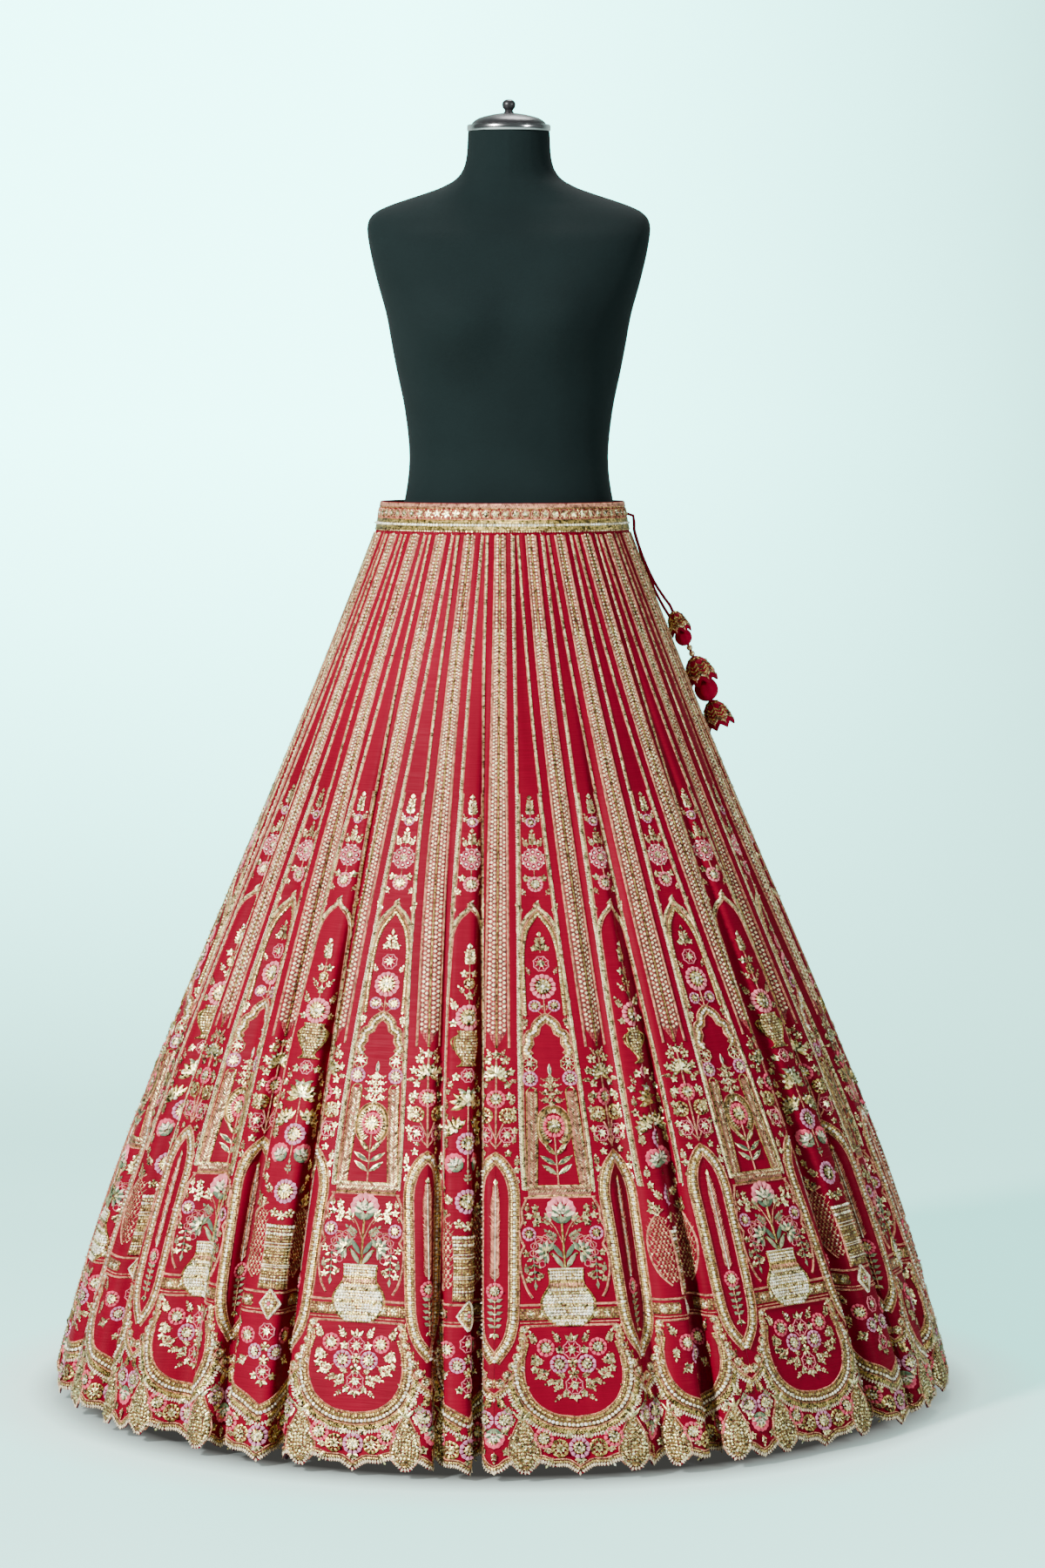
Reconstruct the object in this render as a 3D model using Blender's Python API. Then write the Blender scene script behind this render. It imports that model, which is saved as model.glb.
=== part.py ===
"""A panelled lehenga skirt of twenty-four flared kalis on a limbless dress form.

Metres, +Z up. The front faces -Y, and angles round the skirt run from the front towards +X.
The origin is on the floor, in the middle of the form's base.
"""

from math import cos, exp, pi, radians, sin

import bmesh
import bpy
import numpy as np
from mathutils import Matrix, Vector

# ---- driving sizes ----
SEAM_GAP = 0.0003  # between two pieces that are sewn together
CLOTH = 0.0022  # the skirt's wall, measured level
KALIS = 24

WAIST_Z = 1.0200  # the kalis' top edge, under the waistband
WAIST_X = 0.1490  # half widths of the oval there, side to side and front to back
WAIST_Y = 0.1140
HEM_Z = 0.0220  # the hem's line, from which its lobes hang
HEM_X = 0.5320
HEM_Y = 0.5250
BELLY = 0.0200  # how far the sides bow out of a straight cone
FIRST_SEAM = -1.0  # degrees, the seam beside the front ridge

GATHERS = 72  # small gathers under the waistband
GATHER_DEPTH = 0.0016
GATHER_END = 0.30  # the share of the skirt's length where they have run out
FOLD_POWER = 1.1  # how a fold deepens from its start to the hem
RING_STEPS = 5760  # steps in which a ring is measured

BAND_HEIGHT = 0.0347
BAND_WALL = 0.0024
BAND_TOP_X = 0.1425
BAND_TOP_Y = 0.1075
BAND_STEPS = 24
PLACKET = 0.0045  # half of the opening at the side, where the drawstring comes out

ROW_SHARES = (0.0, 0.06, 0.18, 0.36, 0.58, 0.80, 1.0)  # the rows of points down a kali

# Folds that run in from the surface: where each lies at the hem, half of its width there,
# its depth there, how far its mouth closes, and the share of the length where it starts.
FOLD_COLUMNS = ("degrees", "half", "depth", "mouth", "start")
FOLDS = (
    (-84.0, 4.0, 0.027, 0.10, 0.10),
    (-73.5, 3.6, 0.031, 0.15, 0.15),
    (-62.0, 3.8, 0.030, 0.10, 0.12),
    (-45.5, 5.0, 0.034, 0.00, 0.20),
    (-37.0, 2.8, 0.031, 0.20, 0.10),
    (-28.6, 2.5, 0.046, 0.24, 0.12),
    (-17.0, 8.0, 0.006, 0.00, 0.30),
    (-7.7, 2.0, 0.035, 0.26, 0.30),
    (-3.0, 2.0, 0.042, 0.26, 0.12),
    (8.5, 7.0, 0.005, 0.00, 0.30),
    (19.8, 3.0, 0.022, 0.05, 0.15),
    (27.0, 2.8, 0.033, 0.20, 0.12),
    (41.0, 9.0, 0.006, 0.00, 0.30),
    (54.0, 3.2, 0.036, 0.15, 0.12),
    (63.5, 3.2, 0.033, 0.20, 0.10),
    (75.0, 3.8, 0.030, 0.10, 0.14),
    (87.0, 3.2, 0.035, 0.20, 0.10),
    (96.0, 2.9, 0.034, 0.20, 0.16),
    (109.0, 3.6, 0.031, 0.12, 0.10),
    (121.5, 3.0, 0.038, 0.22, 0.12),
    (131.0, 3.2, 0.030, 0.18, 0.18),
    (144.5, 3.6, 0.033, 0.12, 0.10),
    (156.0, 2.8, 0.038, 0.24, 0.14),
    (165.0, 3.0, 0.033, 0.18, 0.10),
    (179.0, 3.8, 0.030, 0.10, 0.16),
    (191.5, 3.0, 0.036, 0.22, 0.10),
    (201.0, 3.0, 0.032, 0.18, 0.14),
    (215.0, 3.6, 0.033, 0.12, 0.12),
    (227.5, 2.9, 0.038, 0.22, 0.10),
    (237.0, 3.2, 0.031, 0.16, 0.16),
    (249.5, 3.6, 0.033, 0.12, 0.12),
    (262.0, 3.0, 0.034, 0.20, 0.10),
)

# Half of a kali's hem, from its seam to its middle: the share of the width and the drop there.
# A small lobe hangs over the seam, then a fan, then steps down to the middle lobe.
LOBE_COLUMNS = ("share", "drop")
LOBES = (
    (0.00, 0.013),
    (0.05, 0.009),
    (0.10, 0.001),
    (0.15, 0.012),
    (0.20, 0.013),
    (0.26, 0.000),
    (0.34, 0.006),
    (0.42, 0.006),
    (0.50, 0.016),
)

# The form's level sections, bottom to top: half width, half depth, how far back the middle
# lies, and how square the oval is (2 is an ellipse).
SECTION_COLUMNS = ("z", "half_x", "half_y", "back", "square")
TORSO = (
    (0.790, 0.138, 0.098, 0.008, 2.2),
    (0.803, 0.152, 0.110, 0.008, 2.2),
    (0.850, 0.161, 0.117, 0.008, 2.2),
    (0.905, 0.163, 0.118, 0.007, 2.2),
    (0.960, 0.153, 0.110, 0.005, 2.2),
    (1.010, 0.136, 0.099, 0.003, 2.2),
    (1.055, 0.123, 0.091, 0.001, 2.2),
    (1.105, 0.117, 0.086, 0.000, 2.2),
    (1.160, 0.122, 0.091, 0.000, 2.2),
    (1.210, 0.132, 0.096, -0.002, 2.3),
    (1.242, 0.138, 0.100, -0.003, 2.4),
    (1.275, 0.144, 0.102, -0.004, 2.4),
    (1.315, 0.155, 0.098, -0.001, 2.6),
    (1.355, 0.164, 0.090, 0.003, 2.8),
    (1.380, 0.166, 0.075, 0.008, 2.8),
    (1.394, 0.157, 0.066, 0.010, 2.6),
    (1.404, 0.136, 0.060, 0.011, 2.4),
    (1.414, 0.106, 0.056, 0.011, 2.2),
    (1.424, 0.078, 0.053, 0.010, 2.1),
    (1.436, 0.059, 0.050, 0.009, 2.0),
    (1.455, 0.050, 0.048, 0.006, 2.0),
    (1.488, 0.0475, 0.0465, 0.004, 2.0),
)
TORSO_SIDES = 28
BUST_X, BUST_Z = 0.062, 1.268  # the form's bust, each side of its middle
BUST_SPREAD = 0.048
BUST_OUT = 0.016
NECK_X = 0.0075  # the form stands a little off the skirt's middle
NECK_TOP = TORSO[-1][0]
NECK_BACK = TORSO[-1][3]
NECK_SIDES = 28

POLE_RADIUS = 0.0150
BASE_RADIUS = 0.2000
BASE_HEIGHT = 0.0120

CORD = 0.0035  # the drawstring's diameter
CORD_POINT_STEP = 0.0085
CORD_CLEAR = 0.0012  # between the drawstring and the skirt

# Routes of the drawstring's ends outside the placket: height, degrees round the skirt, and
# how far out from its surface.
ROUTE_COLUMNS = ("z", "degrees", "out")
SHORT_END = (
    (1.0400, 88.9, 0.0010),
    (1.0400, 88.9, 0.0060),
    (1.0340, 89.0, 0.0085),
    (1.0200, 89.4, 0.0060),
    (0.9900, 90.4, 0.0040),
    (0.9600, 91.4, 0.0060),
    (0.9400, 92.0, 0.0110),
    (0.9310, 92.2, 0.0142),
    (0.9240, 92.3, 0.0147),
)
LONG_END = (
    (1.0400, 91.1, 0.0010),
    (1.0400, 91.1, 0.0060),
    (1.0340, 91.4, 0.0085),
    (1.0200, 92.4, 0.0060),
    (0.9900, 94.6, 0.0040),
    (0.9500, 97.0, 0.0045),
    (0.9200, 98.6, 0.0100),
    (0.9000, 99.4, 0.0175),
    (0.8900, 99.7, 0.0205),
    (0.8830, 99.8, 0.0210),
)

# Bells and balls, top to bottom on each end: the height of its middle, its size across and
# its length. A bell's lower edge is a zigzag.
CHARM_COLUMNS = ("name", "shape", "across", "long")
SHORT_CHARMS = (
    ("latkan_bell_1", "bell", 0.0260, 0.0290),
    ("latkan_ball_1", "ball", 0.0210, 0.0210),
)
LONG_CHARMS = (
    ("latkan_bead_1", "ball", 0.0075, 0.0075),
    ("latkan_bead_2", "ball", 0.0075, 0.0075),
    ("latkan_bell_2", "bell", 0.0380, 0.0350),
    ("latkan_ball_2", "ball", 0.0290, 0.0290),
    ("latkan_bell_3", "bell", 0.0360, 0.0350),
)
TEETH = 8
BELL_MOUTH = 0.0040  # how deep the hollow of a bell's mouth is
SLOPE = radians(22.5)  # the skirt's side, off the upright


# ---- materials ----
def material(name, colour, roughness, metallic=0.0):
    made = bpy.data.materials.new(name)
    made.use_nodes = True
    shader = made.node_tree.nodes["Principled BSDF"]
    shader.inputs["Base Color"].default_value = (*colour, 1.0)
    shader.inputs["Roughness"].default_value = roughness
    shader.inputs["Metallic"].default_value = metallic
    return made


def node(name, mesh, finish, smooth_angle=None):
    """One named object for one piece."""
    made = bpy.data.objects.new(name, mesh)
    bpy.context.scene.collection.objects.link(made)
    mesh.materials.append(finish)
    if smooth_angle is not None:
        mesh.shade_smooth()
        mesh.set_sharp_from_angle(angle=radians(smooth_angle))
    return made


def mesh_of(name, points, faces):
    made = bpy.data.meshes.new(name)
    made.from_pydata([tuple(p) for p in points], [], faces)
    made.update()
    return made


# ---- the skirt's surface ----
def oval(share):
    """Half widths of the skirt's outer oval at a share of its length."""
    belly = BELLY * sin(pi * share * share)
    return (
        WAIST_X + (HEM_X - WAIST_X) * share + belly,
        WAIST_Y + (HEM_Y - WAIST_Y) * share + belly,
    )


def height(share):
    return WAIST_Z + (HEM_Z - WAIST_Z) * share


def folded_ring(share, centres):
    """The points of one level ring of cloth, from the first seam on round to it again."""
    degrees = FIRST_SEAM + np.linspace(0.0, 360.0, RING_STEPS + 1)
    half_x, half_y = oval(share)
    inward = np.zeros_like(degrees)
    sideways = np.zeros_like(degrees)
    for (_, half, depth, mouth, start), centre in zip(FOLDS, centres):
        grown = max(0.0, (share - start) / (1.0 - start)) ** FOLD_POWER
        across = np.clip(((degrees - centre + 180.0) % 360.0 - 180.0) / half, -1.0, 1.0)
        inward += grown * depth * (0.5 + 0.5 * np.cos(pi * across))
        sideways += grown * mouth * radians(half) * np.sin(2.0 * pi * across)
    left = max(0.0, 1.0 - share / GATHER_END) ** 2
    turns = np.radians(GATHERS * (degrees - FIRST_SEAM))
    inward += left * GATHER_DEPTH * (0.5 - 0.5 * np.cos(turns))
    angle = np.radians(degrees) + sideways
    return np.stack(
        [(half_x - inward) * np.sin(angle), -(half_y - inward) * np.cos(angle)], axis=1
    )


def run_along(ring):
    steps = np.linalg.norm(np.diff(ring, axis=0), axis=1)
    return np.concatenate([[0.0], np.cumsum(steps)])


def places_in_the_cloth():
    """Where each fold lies in the cloth, counted in kalis from the first seam."""
    run = run_along(folded_ring(1.0, [fold[0] for fold in FOLDS]))
    turned = np.linspace(0.0, 360.0, RING_STEPS + 1)
    at = [(fold[0] - FIRST_SEAM) % 360.0 for fold in FOLDS]
    return np.interp(at, turned, run / run[-1] * KALIS)


FOLD_PLACES = places_in_the_cloth()


def fold_centres(share):
    """A fold follows its line in the cloth, which fans out evenly from the waist."""
    at_waist = FOLD_PLACES * 360.0 / KALIS
    at_hem = np.array([(fold[0] - FIRST_SEAM) % 360.0 for fold in FOLDS])
    return FIRST_SEAM + at_waist + (at_hem - at_waist) * share


def cloth_row(share, kali_places):
    """The points of the cloth at a share of its length, with the way out at each."""
    ring = folded_ring(share, fold_centres(share))
    run = run_along(ring)
    at = np.asarray(kali_places) / KALIS * run[-1]
    step = run[-1] / RING_STEPS
    point, before, after = (
        np.stack([np.interp(where, run, ring[:, k]) for k in (0, 1)], axis=1)
        for where in (at, np.maximum(at - step, 0.0), np.minimum(at + step, run[-1]))
    )
    along = after - before
    out = np.stack([along[:, 1], -along[:, 0]], axis=1)
    out /= np.linalg.norm(out, axis=1)[:, None]
    return point, out, run[-1]


def hem_shares():
    """Shares across a kali and the hem's drop at each, the half table and its mirror."""
    left = list(LOBES)
    right = [(1.0 - share, drop) for share, drop in reversed(LOBES[:-1])]
    return left + right


def kali_mesh(number):
    """A flared panel of cloth: an outer and an inner face joined round the edge."""
    columns = hem_shares()
    outer, inner = [], []
    for share in ROW_SHARES:
        width = cloth_row(share, [0.0])[2] / KALIS
        trim = 0.5 * SEAM_GAP / width
        places = [number + trim + (1.0 - 2.0 * trim) * across for across, _ in columns]
        points, out, _ = cloth_row(share, places)
        for (x, y), (out_x, out_y), (_, drop) in zip(points, out, columns):
            z = height(share) - (drop if share == 1.0 else 0.0)
            outer.append((x + 0.5 * CLOTH * out_x, y + 0.5 * CLOTH * out_y, z))
            inner.append((x - 0.5 * CLOTH * out_x, y - 0.5 * CLOTH * out_y, z))
    return wall_mesh(f"kali_{number + 1:02d}", outer, inner, len(ROW_SHARES), len(columns))


def wall_mesh(name, outer, inner, rows, columns):
    """A closed wall from two grids of points, rows running down and columns to the right."""

    def front(row, column):
        return row * columns + column

    def back(row, column):
        return rows * columns + row * columns + column

    faces = []
    for row in range(rows - 1):
        for column in range(columns - 1):
            near, far = column, column + 1
            faces.append(
                (front(row, near), front(row + 1, near), front(row + 1, far), front(row, far))
            )
            faces.append(
                (back(row, near), back(row, far), back(row + 1, far), back(row + 1, near))
            )
    for column in range(columns - 1):
        last = rows - 1
        faces.append(
            (front(0, column), front(0, column + 1), back(0, column + 1), back(0, column))
        )
        faces.append(
            (front(last, column + 1), front(last, column), back(last, column), back(last, column + 1))
        )
    for row in range(rows - 1):
        last = columns - 1
        faces.append((front(row, 0), back(row, 0), back(row + 1, 0), front(row + 1, 0)))
        faces.append(
            (front(row, last), front(row + 1, last), back(row + 1, last), back(row, last))
        )
    return mesh_of(name, outer + inner, faces)


def make_skirt(cloth):
    for number in range(KALIS):
        node(f"kali_{number + 1:02d}", kali_mesh(number), cloth)


# ---- the waistband ----
def band_point(degrees, share, out):
    """A point on the waistband, from its lower edge (0) to its upper edge (1)."""
    half_x = WAIST_X + (BAND_TOP_X - WAIST_X) * share + out
    half_y = WAIST_Y + (BAND_TOP_Y - WAIST_Y) * share + out
    z = WAIST_Z + SEAM_GAP + BAND_HEIGHT * share
    return (half_x * sin(radians(degrees)), -half_y * cos(radians(degrees)), z)


def make_waistband(cloth):
    """A front and a back strip, sewn together at one side and open at the other."""
    open_end = 90.0 - np.degrees(PLACKET / WAIST_Y)
    sewn_end = 90.0 - np.degrees(0.5 * SEAM_GAP / BAND_TOP_Y)
    for name, start, end in (
        ("waistband_front", -sewn_end, open_end),
        ("waistband_back", 180.0 - open_end, 180.0 + sewn_end),
    ):
        turn = np.linspace(start, end, BAND_STEPS + 1)
        outer, inner = (
            [band_point(degrees, share, out) for share in (1.0, 0.5, 0.0) for degrees in turn]
            for out in (0.5 * BAND_WALL, -0.5 * BAND_WALL)
        )
        node(name, wall_mesh(name, outer, inner, 3, len(turn)), cloth)


# ---- the drawstring's ends ----
def beside_skirt(z, degrees, out):
    """A point just outside the skirt or the waistband."""
    if z > WAIST_Z:
        share = (z - WAIST_Z) / BAND_HEIGHT
        half_x = WAIST_X + (BAND_TOP_X - WAIST_X) * share
        half_y = WAIST_Y + (BAND_TOP_Y - WAIST_Y) * share
    else:
        half_x, half_y = oval((WAIST_Z - z) / (WAIST_Z - HEM_Z))
    turn = radians(degrees)
    return Vector(((half_x + out) * sin(turn), -(half_y + out) * cos(turn), z))


def smooth_route(route):
    """Points spread along a smooth curve through a route's own points."""
    through = [beside_skirt(z, degrees, out + CORD_CLEAR) for z, degrees, out in route]
    ends = [2 * through[0] - through[1]] + through + [2 * through[-1] - through[-2]]
    fine = []
    for a, b, c, d in zip(ends, ends[1:], ends[2:], ends[3:]):
        for t in np.linspace(0.0, 1.0, 24, endpoint=False):
            fine.append(
                0.5 * (2 * b + (c - a) * t + (2 * a - 5 * b + 4 * c - d) * t * t
                       + (3 * b - a - 3 * c + d) * t * t * t)
            )
    fine = np.array([tuple(p) for p in fine + [through[-1]]])
    run = np.concatenate([[0.0], np.cumsum(np.linalg.norm(np.diff(fine, axis=0), axis=1))])
    at = np.linspace(0.0, run[-1], max(2, round(run[-1] / CORD_POINT_STEP)) + 1)
    return [Vector([float(np.interp(where, run, fine[:, k])) for k in range(3)]) for where in at]


def make_cord(name, points, finish):
    curve = bpy.data.curves.new(name, "CURVE")
    curve.dimensions = "3D"
    curve.bevel_depth = 0.5 * CORD
    curve.bevel_resolution = 2
    curve.use_fill_caps = True
    spline = curve.splines.new("POLY")
    spline.points.add(len(points) - 1)
    for place, point in zip(spline.points, points):
        place.co = (*point, 1.0)
    made = bpy.data.objects.new(name, curve)
    curve.materials.append(finish)
    bpy.context.scene.collection.objects.link(made)


def turned(name, profile, sides, teeth=0.0):
    """A closed solid turned about Z. The profile is (radius, z, toothed) from top to bottom,
    with a single point at each end; toothed rings rise and fall by turns."""
    points, faces = [(0.0, 0.0, profile[0][1])], []
    for radius, z, toothed in profile[1:-1]:
        for side in range(sides):
            turn = 2.0 * pi * side / sides
            lift = teeth * toothed * (1.0 if side % 2 else -1.0)
            points.append((radius * cos(turn), radius * sin(turn), z + lift))
    points.append((0.0, 0.0, profile[-1][1]))
    rings = len(profile) - 2
    for side in range(sides):
        after = (side + 1) % sides
        faces.append((0, 1 + side, 1 + after))
        for ring in range(rings - 1):
            top, below = 1 + ring * sides, 1 + (ring + 1) * sides
            faces.append((top + side, below + side, below + after, top + after))
        last = 1 + (rings - 1) * sides
        faces.append((last + side, len(points) - 1, last + after))
    return mesh_of(name, points, faces)


def bell_mesh(name, across, length):
    """A cup of cloth with a zigzag edge and a shallow mouth, its top at the origin."""
    radius = 0.5 * across
    edge = 0.10 * length
    profile = (
        (0.0, 0.0, 0.0),
        (0.20 * radius, 0.0, 0.0),
        (0.62 * radius, -0.22 * length, 0.0),
        (0.82 * radius, -0.55 * length, 0.0),
        (1.00 * radius, -length + edge, 1.0),
        (0.90 * radius, -length + edge, 1.0),
        (0.55 * radius, -length + edge + BELL_MOUTH, 0.0),
        (0.0, -length + edge + BELL_MOUTH, 0.0),
    )
    return turned(name, profile, 2 * TEETH, edge)


def ball_mesh(name, across):
    radius = 0.5 * across
    rows = 6
    profile = [(radius * sin(pi * k / rows), radius * (cos(pi * k / rows) - 1.0), 0.0)
               for k in range(rows + 1)]
    profile[0] = (0.0, 0.0, 0.0)
    profile[-1] = (0.0, -2.0 * radius, 0.0)
    return turned(name, profile, 12)


def make_charms(points, charms, degrees, finishes):
    """Bells and balls threaded on the cord's end, one under another down the slope."""
    down = Vector((sin(SLOPE) * sin(radians(degrees)), -sin(SLOPE) * cos(radians(degrees)),
                   -cos(SLOPE)))
    tilt = down.rotation_difference(Vector((0.0, 0.0, -1.0))).inverted().to_matrix().to_4x4()
    at = points[-1] + SEAM_GAP * down
    for name, shape, across, length in charms:
        if shape == "bell":
            mesh = bell_mesh(name, across, length)
            below = length - 0.10 * length - BELL_MOUTH
        else:
            mesh = ball_mesh(name, across)
            below = length
        mesh.transform(Matrix.Translation(at) @ tilt)
        mesh.update()
        node(name, mesh, finishes["gold" if "bead" in name or shape == "bell" else "tuft"], 40)
        at = at + (below + SEAM_GAP) * down


def make_drawstring(finishes):
    for name, route, charms in (
        ("drawstring_short", SHORT_END, SHORT_CHARMS),
        ("drawstring_long", LONG_END, LONG_CHARMS),
    ):
        points = smooth_route(route)
        make_cord(name, points, finishes["cloth"])
        make_charms(points, charms, route[-1][1], finishes)


# ---- the dress form ----
def section_point(section, turn):
    z, half_x, half_y, back, square = section
    power = 2.0 / square
    x = half_x * abs(cos(turn)) ** power * (1.0 if cos(turn) >= 0 else -1.0)
    y = half_y * abs(sin(turn)) ** power * (1.0 if sin(turn) >= 0 else -1.0)
    if y < 0.0:
        off = ((abs(x) - BUST_X) ** 2 + (z - BUST_Z) ** 2) / BUST_SPREAD**2
        y -= BUST_OUT * exp(-off)
    return (NECK_X + x, back + y, z)


def make_torso(jersey):
    """A loft through the level sections, closed flat at the neck and at the bottom."""
    made = bmesh.new()
    rings = []
    for section in TORSO:
        ring = [
            made.verts.new(section_point(section, 2.0 * pi * side / TORSO_SIDES))
            for side in range(TORSO_SIDES)
        ]
        rings.append(ring)
    for below, above in zip(rings, rings[1:]):
        for side in range(TORSO_SIDES):
            after = (side + 1) % TORSO_SIDES
            made.faces.new((below[side], below[after], above[after], above[side]))
    made.faces.new(rings[0][::-1])
    made.faces.new(rings[-1])
    mesh = bpy.data.meshes.new("form_torso")
    made.to_mesh(mesh)
    made.free()
    node("form_torso", mesh, jersey, 60)


def make_turned_part(name, profile, place, sides, finish):
    mesh = turned(name, [(radius, z, 0.0) for radius, z in profile], sides)
    mesh.transform(Matrix.Translation(place))
    mesh.update()
    node(name, mesh, finish, 40)


def make_form(finishes):
    make_torso(finishes["jersey"])
    neck = (NECK_X, NECK_BACK, 0.0)
    ring_low = NECK_TOP + SEAM_GAP
    ring_high = ring_low + 0.0080
    make_turned_part(
        "form_neck_ring",
        (
            (0.0, ring_high),
            (0.0475, ring_high),
            (0.0492, ring_high - 0.0020),
            (0.0492, ring_low + 0.0020),
            (0.0475, ring_low),
            (0.0, ring_low),
        ),
        neck, NECK_SIDES, finishes["chrome"],
    )
    cap_low = ring_high + SEAM_GAP
    cap_high = cap_low + 0.0130
    make_turned_part(
        "form_neck_cap",
        (
            (0.0, cap_high),
            (0.0100, cap_high),
            (0.0280, cap_high - 0.0035),
            (0.0400, cap_high - 0.0085),
            (0.0440, cap_low),
            (0.0, cap_low),
        ),
        neck, NECK_SIDES, finishes["plastic"],
    )
    knob_low = cap_high + SEAM_GAP
    make_turned_part(
        "form_knob",
        (
            (0.0, knob_low + 0.0160),
            (0.0050, knob_low + 0.0150),
            (0.0080, knob_low + 0.0105),
            (0.0072, knob_low + 0.0055),
            (0.0045, knob_low + 0.0030),
            (0.0060, knob_low),
            (0.0, knob_low),
        ),
        neck, 16, finishes["plastic"],
    )
    pole_low, pole_high = BASE_HEIGHT + SEAM_GAP, TORSO[0][0] - SEAM_GAP
    make_turned_part(
        "form_pole",
        (
            (0.0, pole_high),
            (POLE_RADIUS, pole_high),
            (POLE_RADIUS, pole_low),
            (0.0, pole_low),
        ),
        (0.0, 0.0, 0.0), 20, finishes["chrome"],
    )
    make_turned_part(
        "form_base",
        (
            (0.0, BASE_HEIGHT),
            (BASE_RADIUS - 0.0120, BASE_HEIGHT),
            (BASE_RADIUS - 0.0030, BASE_HEIGHT - 0.0030),
            (BASE_RADIUS, BASE_HEIGHT - 0.0070),
            (BASE_RADIUS, 0.0),
            (0.0, 0.0),
        ),
        (0.0, 0.0, 0.0), 40, finishes["plastic"],
    )


def main():
    for old in list(bpy.data.objects):
        bpy.data.objects.remove(old)
    finishes = {
        "cloth": material("crimson_silk", (0.46, 0.008, 0.030), 0.62),
        "gold": material("gold_thread", (0.52, 0.42, 0.20), 0.42, 0.5),
        "tuft": material("crimson_ball", (0.40, 0.010, 0.035), 0.75),
        "jersey": material("dark_jersey", (0.013, 0.022, 0.024), 0.85),
        "chrome": material("chrome", (0.62, 0.63, 0.64), 0.15, 1.0),
        "plastic": material("black_plastic", (0.012, 0.012, 0.013), 0.35),
    }
    make_skirt(finishes["cloth"])
    make_waistband(finishes["cloth"])
    make_drawstring(finishes)
    make_form(finishes)


main()
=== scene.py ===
# %% [markdown]
# # A panelled lehenga skirt on a dress form
# The skirt is cut from twenty-four flared panels, the kalis, gathered a little into a narrow
# waistband and embroidered all over in gold thread, beads and sequins. It stands on a
# limbless dress form. The construction is already modelled as plain solids, so this
# notebook dresses them: first it loads them as a fixed frame.

# %% Load the frame
from math import ceil, cos, pi, radians, sin

import bpy
import numpy as np
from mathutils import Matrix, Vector


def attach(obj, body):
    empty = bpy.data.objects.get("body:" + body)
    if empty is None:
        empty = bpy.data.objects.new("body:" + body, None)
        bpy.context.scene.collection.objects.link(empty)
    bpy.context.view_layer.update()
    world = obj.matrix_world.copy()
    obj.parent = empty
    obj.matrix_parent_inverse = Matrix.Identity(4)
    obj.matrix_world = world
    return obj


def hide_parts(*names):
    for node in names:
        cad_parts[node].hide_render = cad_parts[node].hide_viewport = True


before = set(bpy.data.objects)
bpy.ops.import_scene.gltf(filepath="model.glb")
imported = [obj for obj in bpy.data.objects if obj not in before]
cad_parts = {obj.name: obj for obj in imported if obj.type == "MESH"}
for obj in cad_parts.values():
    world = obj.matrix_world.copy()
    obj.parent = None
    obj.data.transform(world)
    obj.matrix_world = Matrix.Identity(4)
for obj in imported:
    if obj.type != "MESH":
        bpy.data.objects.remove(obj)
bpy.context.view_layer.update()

MM = 0.001
chance = np.random.default_rng(11)

# %% [markdown]
# ## The camera
# A long lens some five metres away keeps the skirt's sides from leaning towards each
# other. It stands a little above the waist and looks slightly down.

# %% Camera
CAMERA_BACK, CAMERA_HIGH, LOOKS_DOWN = 5.50, 1.20, 5.0
SENSOR_MM, LENS_MM = 36.0, 106.6
LEFT_SHARE = 0.0128  # how far the skirt stands left of the middle, as a share of the height

lens = bpy.data.cameras.new("camera")
lens.sensor_width = SENSOR_MM
lens.lens = LENS_MM
lens.shift_x = LEFT_SHARE
camera = bpy.data.objects.new("camera", lens)
camera.location = (0.0, -CAMERA_BACK, CAMERA_HIGH)
camera.rotation_euler = (radians(90.0 - LOOKS_DOWN), 0.0, 0.0)
bpy.context.scene.collection.objects.link(camera)
bpy.context.scene.camera = camera
print("camera:", LENS_MM, "mm lens,", CAMERA_BACK, "m in front")

# %% [markdown]
# ## The skirt's surface
# Everything that is sewn to the skirt follows one surface, so it is worked out first. A
# level ring of cloth is an oval with folds pushed into it, and points are spread along the
# ring by its real length, because cloth doesn't stretch. These are the same sizes and the
# same folds as in the solids.

# %% Sizes of the skirt
SEAM_GAP, CLOTH = 0.0003, 0.0022
KALIS = 24
WAIST_Z, WAIST_X, WAIST_Y = 1.02, 0.149, 0.114
HEM_Z, HEM_X, HEM_Y = 0.022, 0.532, 0.525
BELLY = 0.02
FIRST_SEAM = -1
GATHERS, GATHER_DEPTH, GATHER_END = 72, 0.0016, 0.3
FOLD_POWER = 1.1
RING_STEPS = 5760

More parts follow.
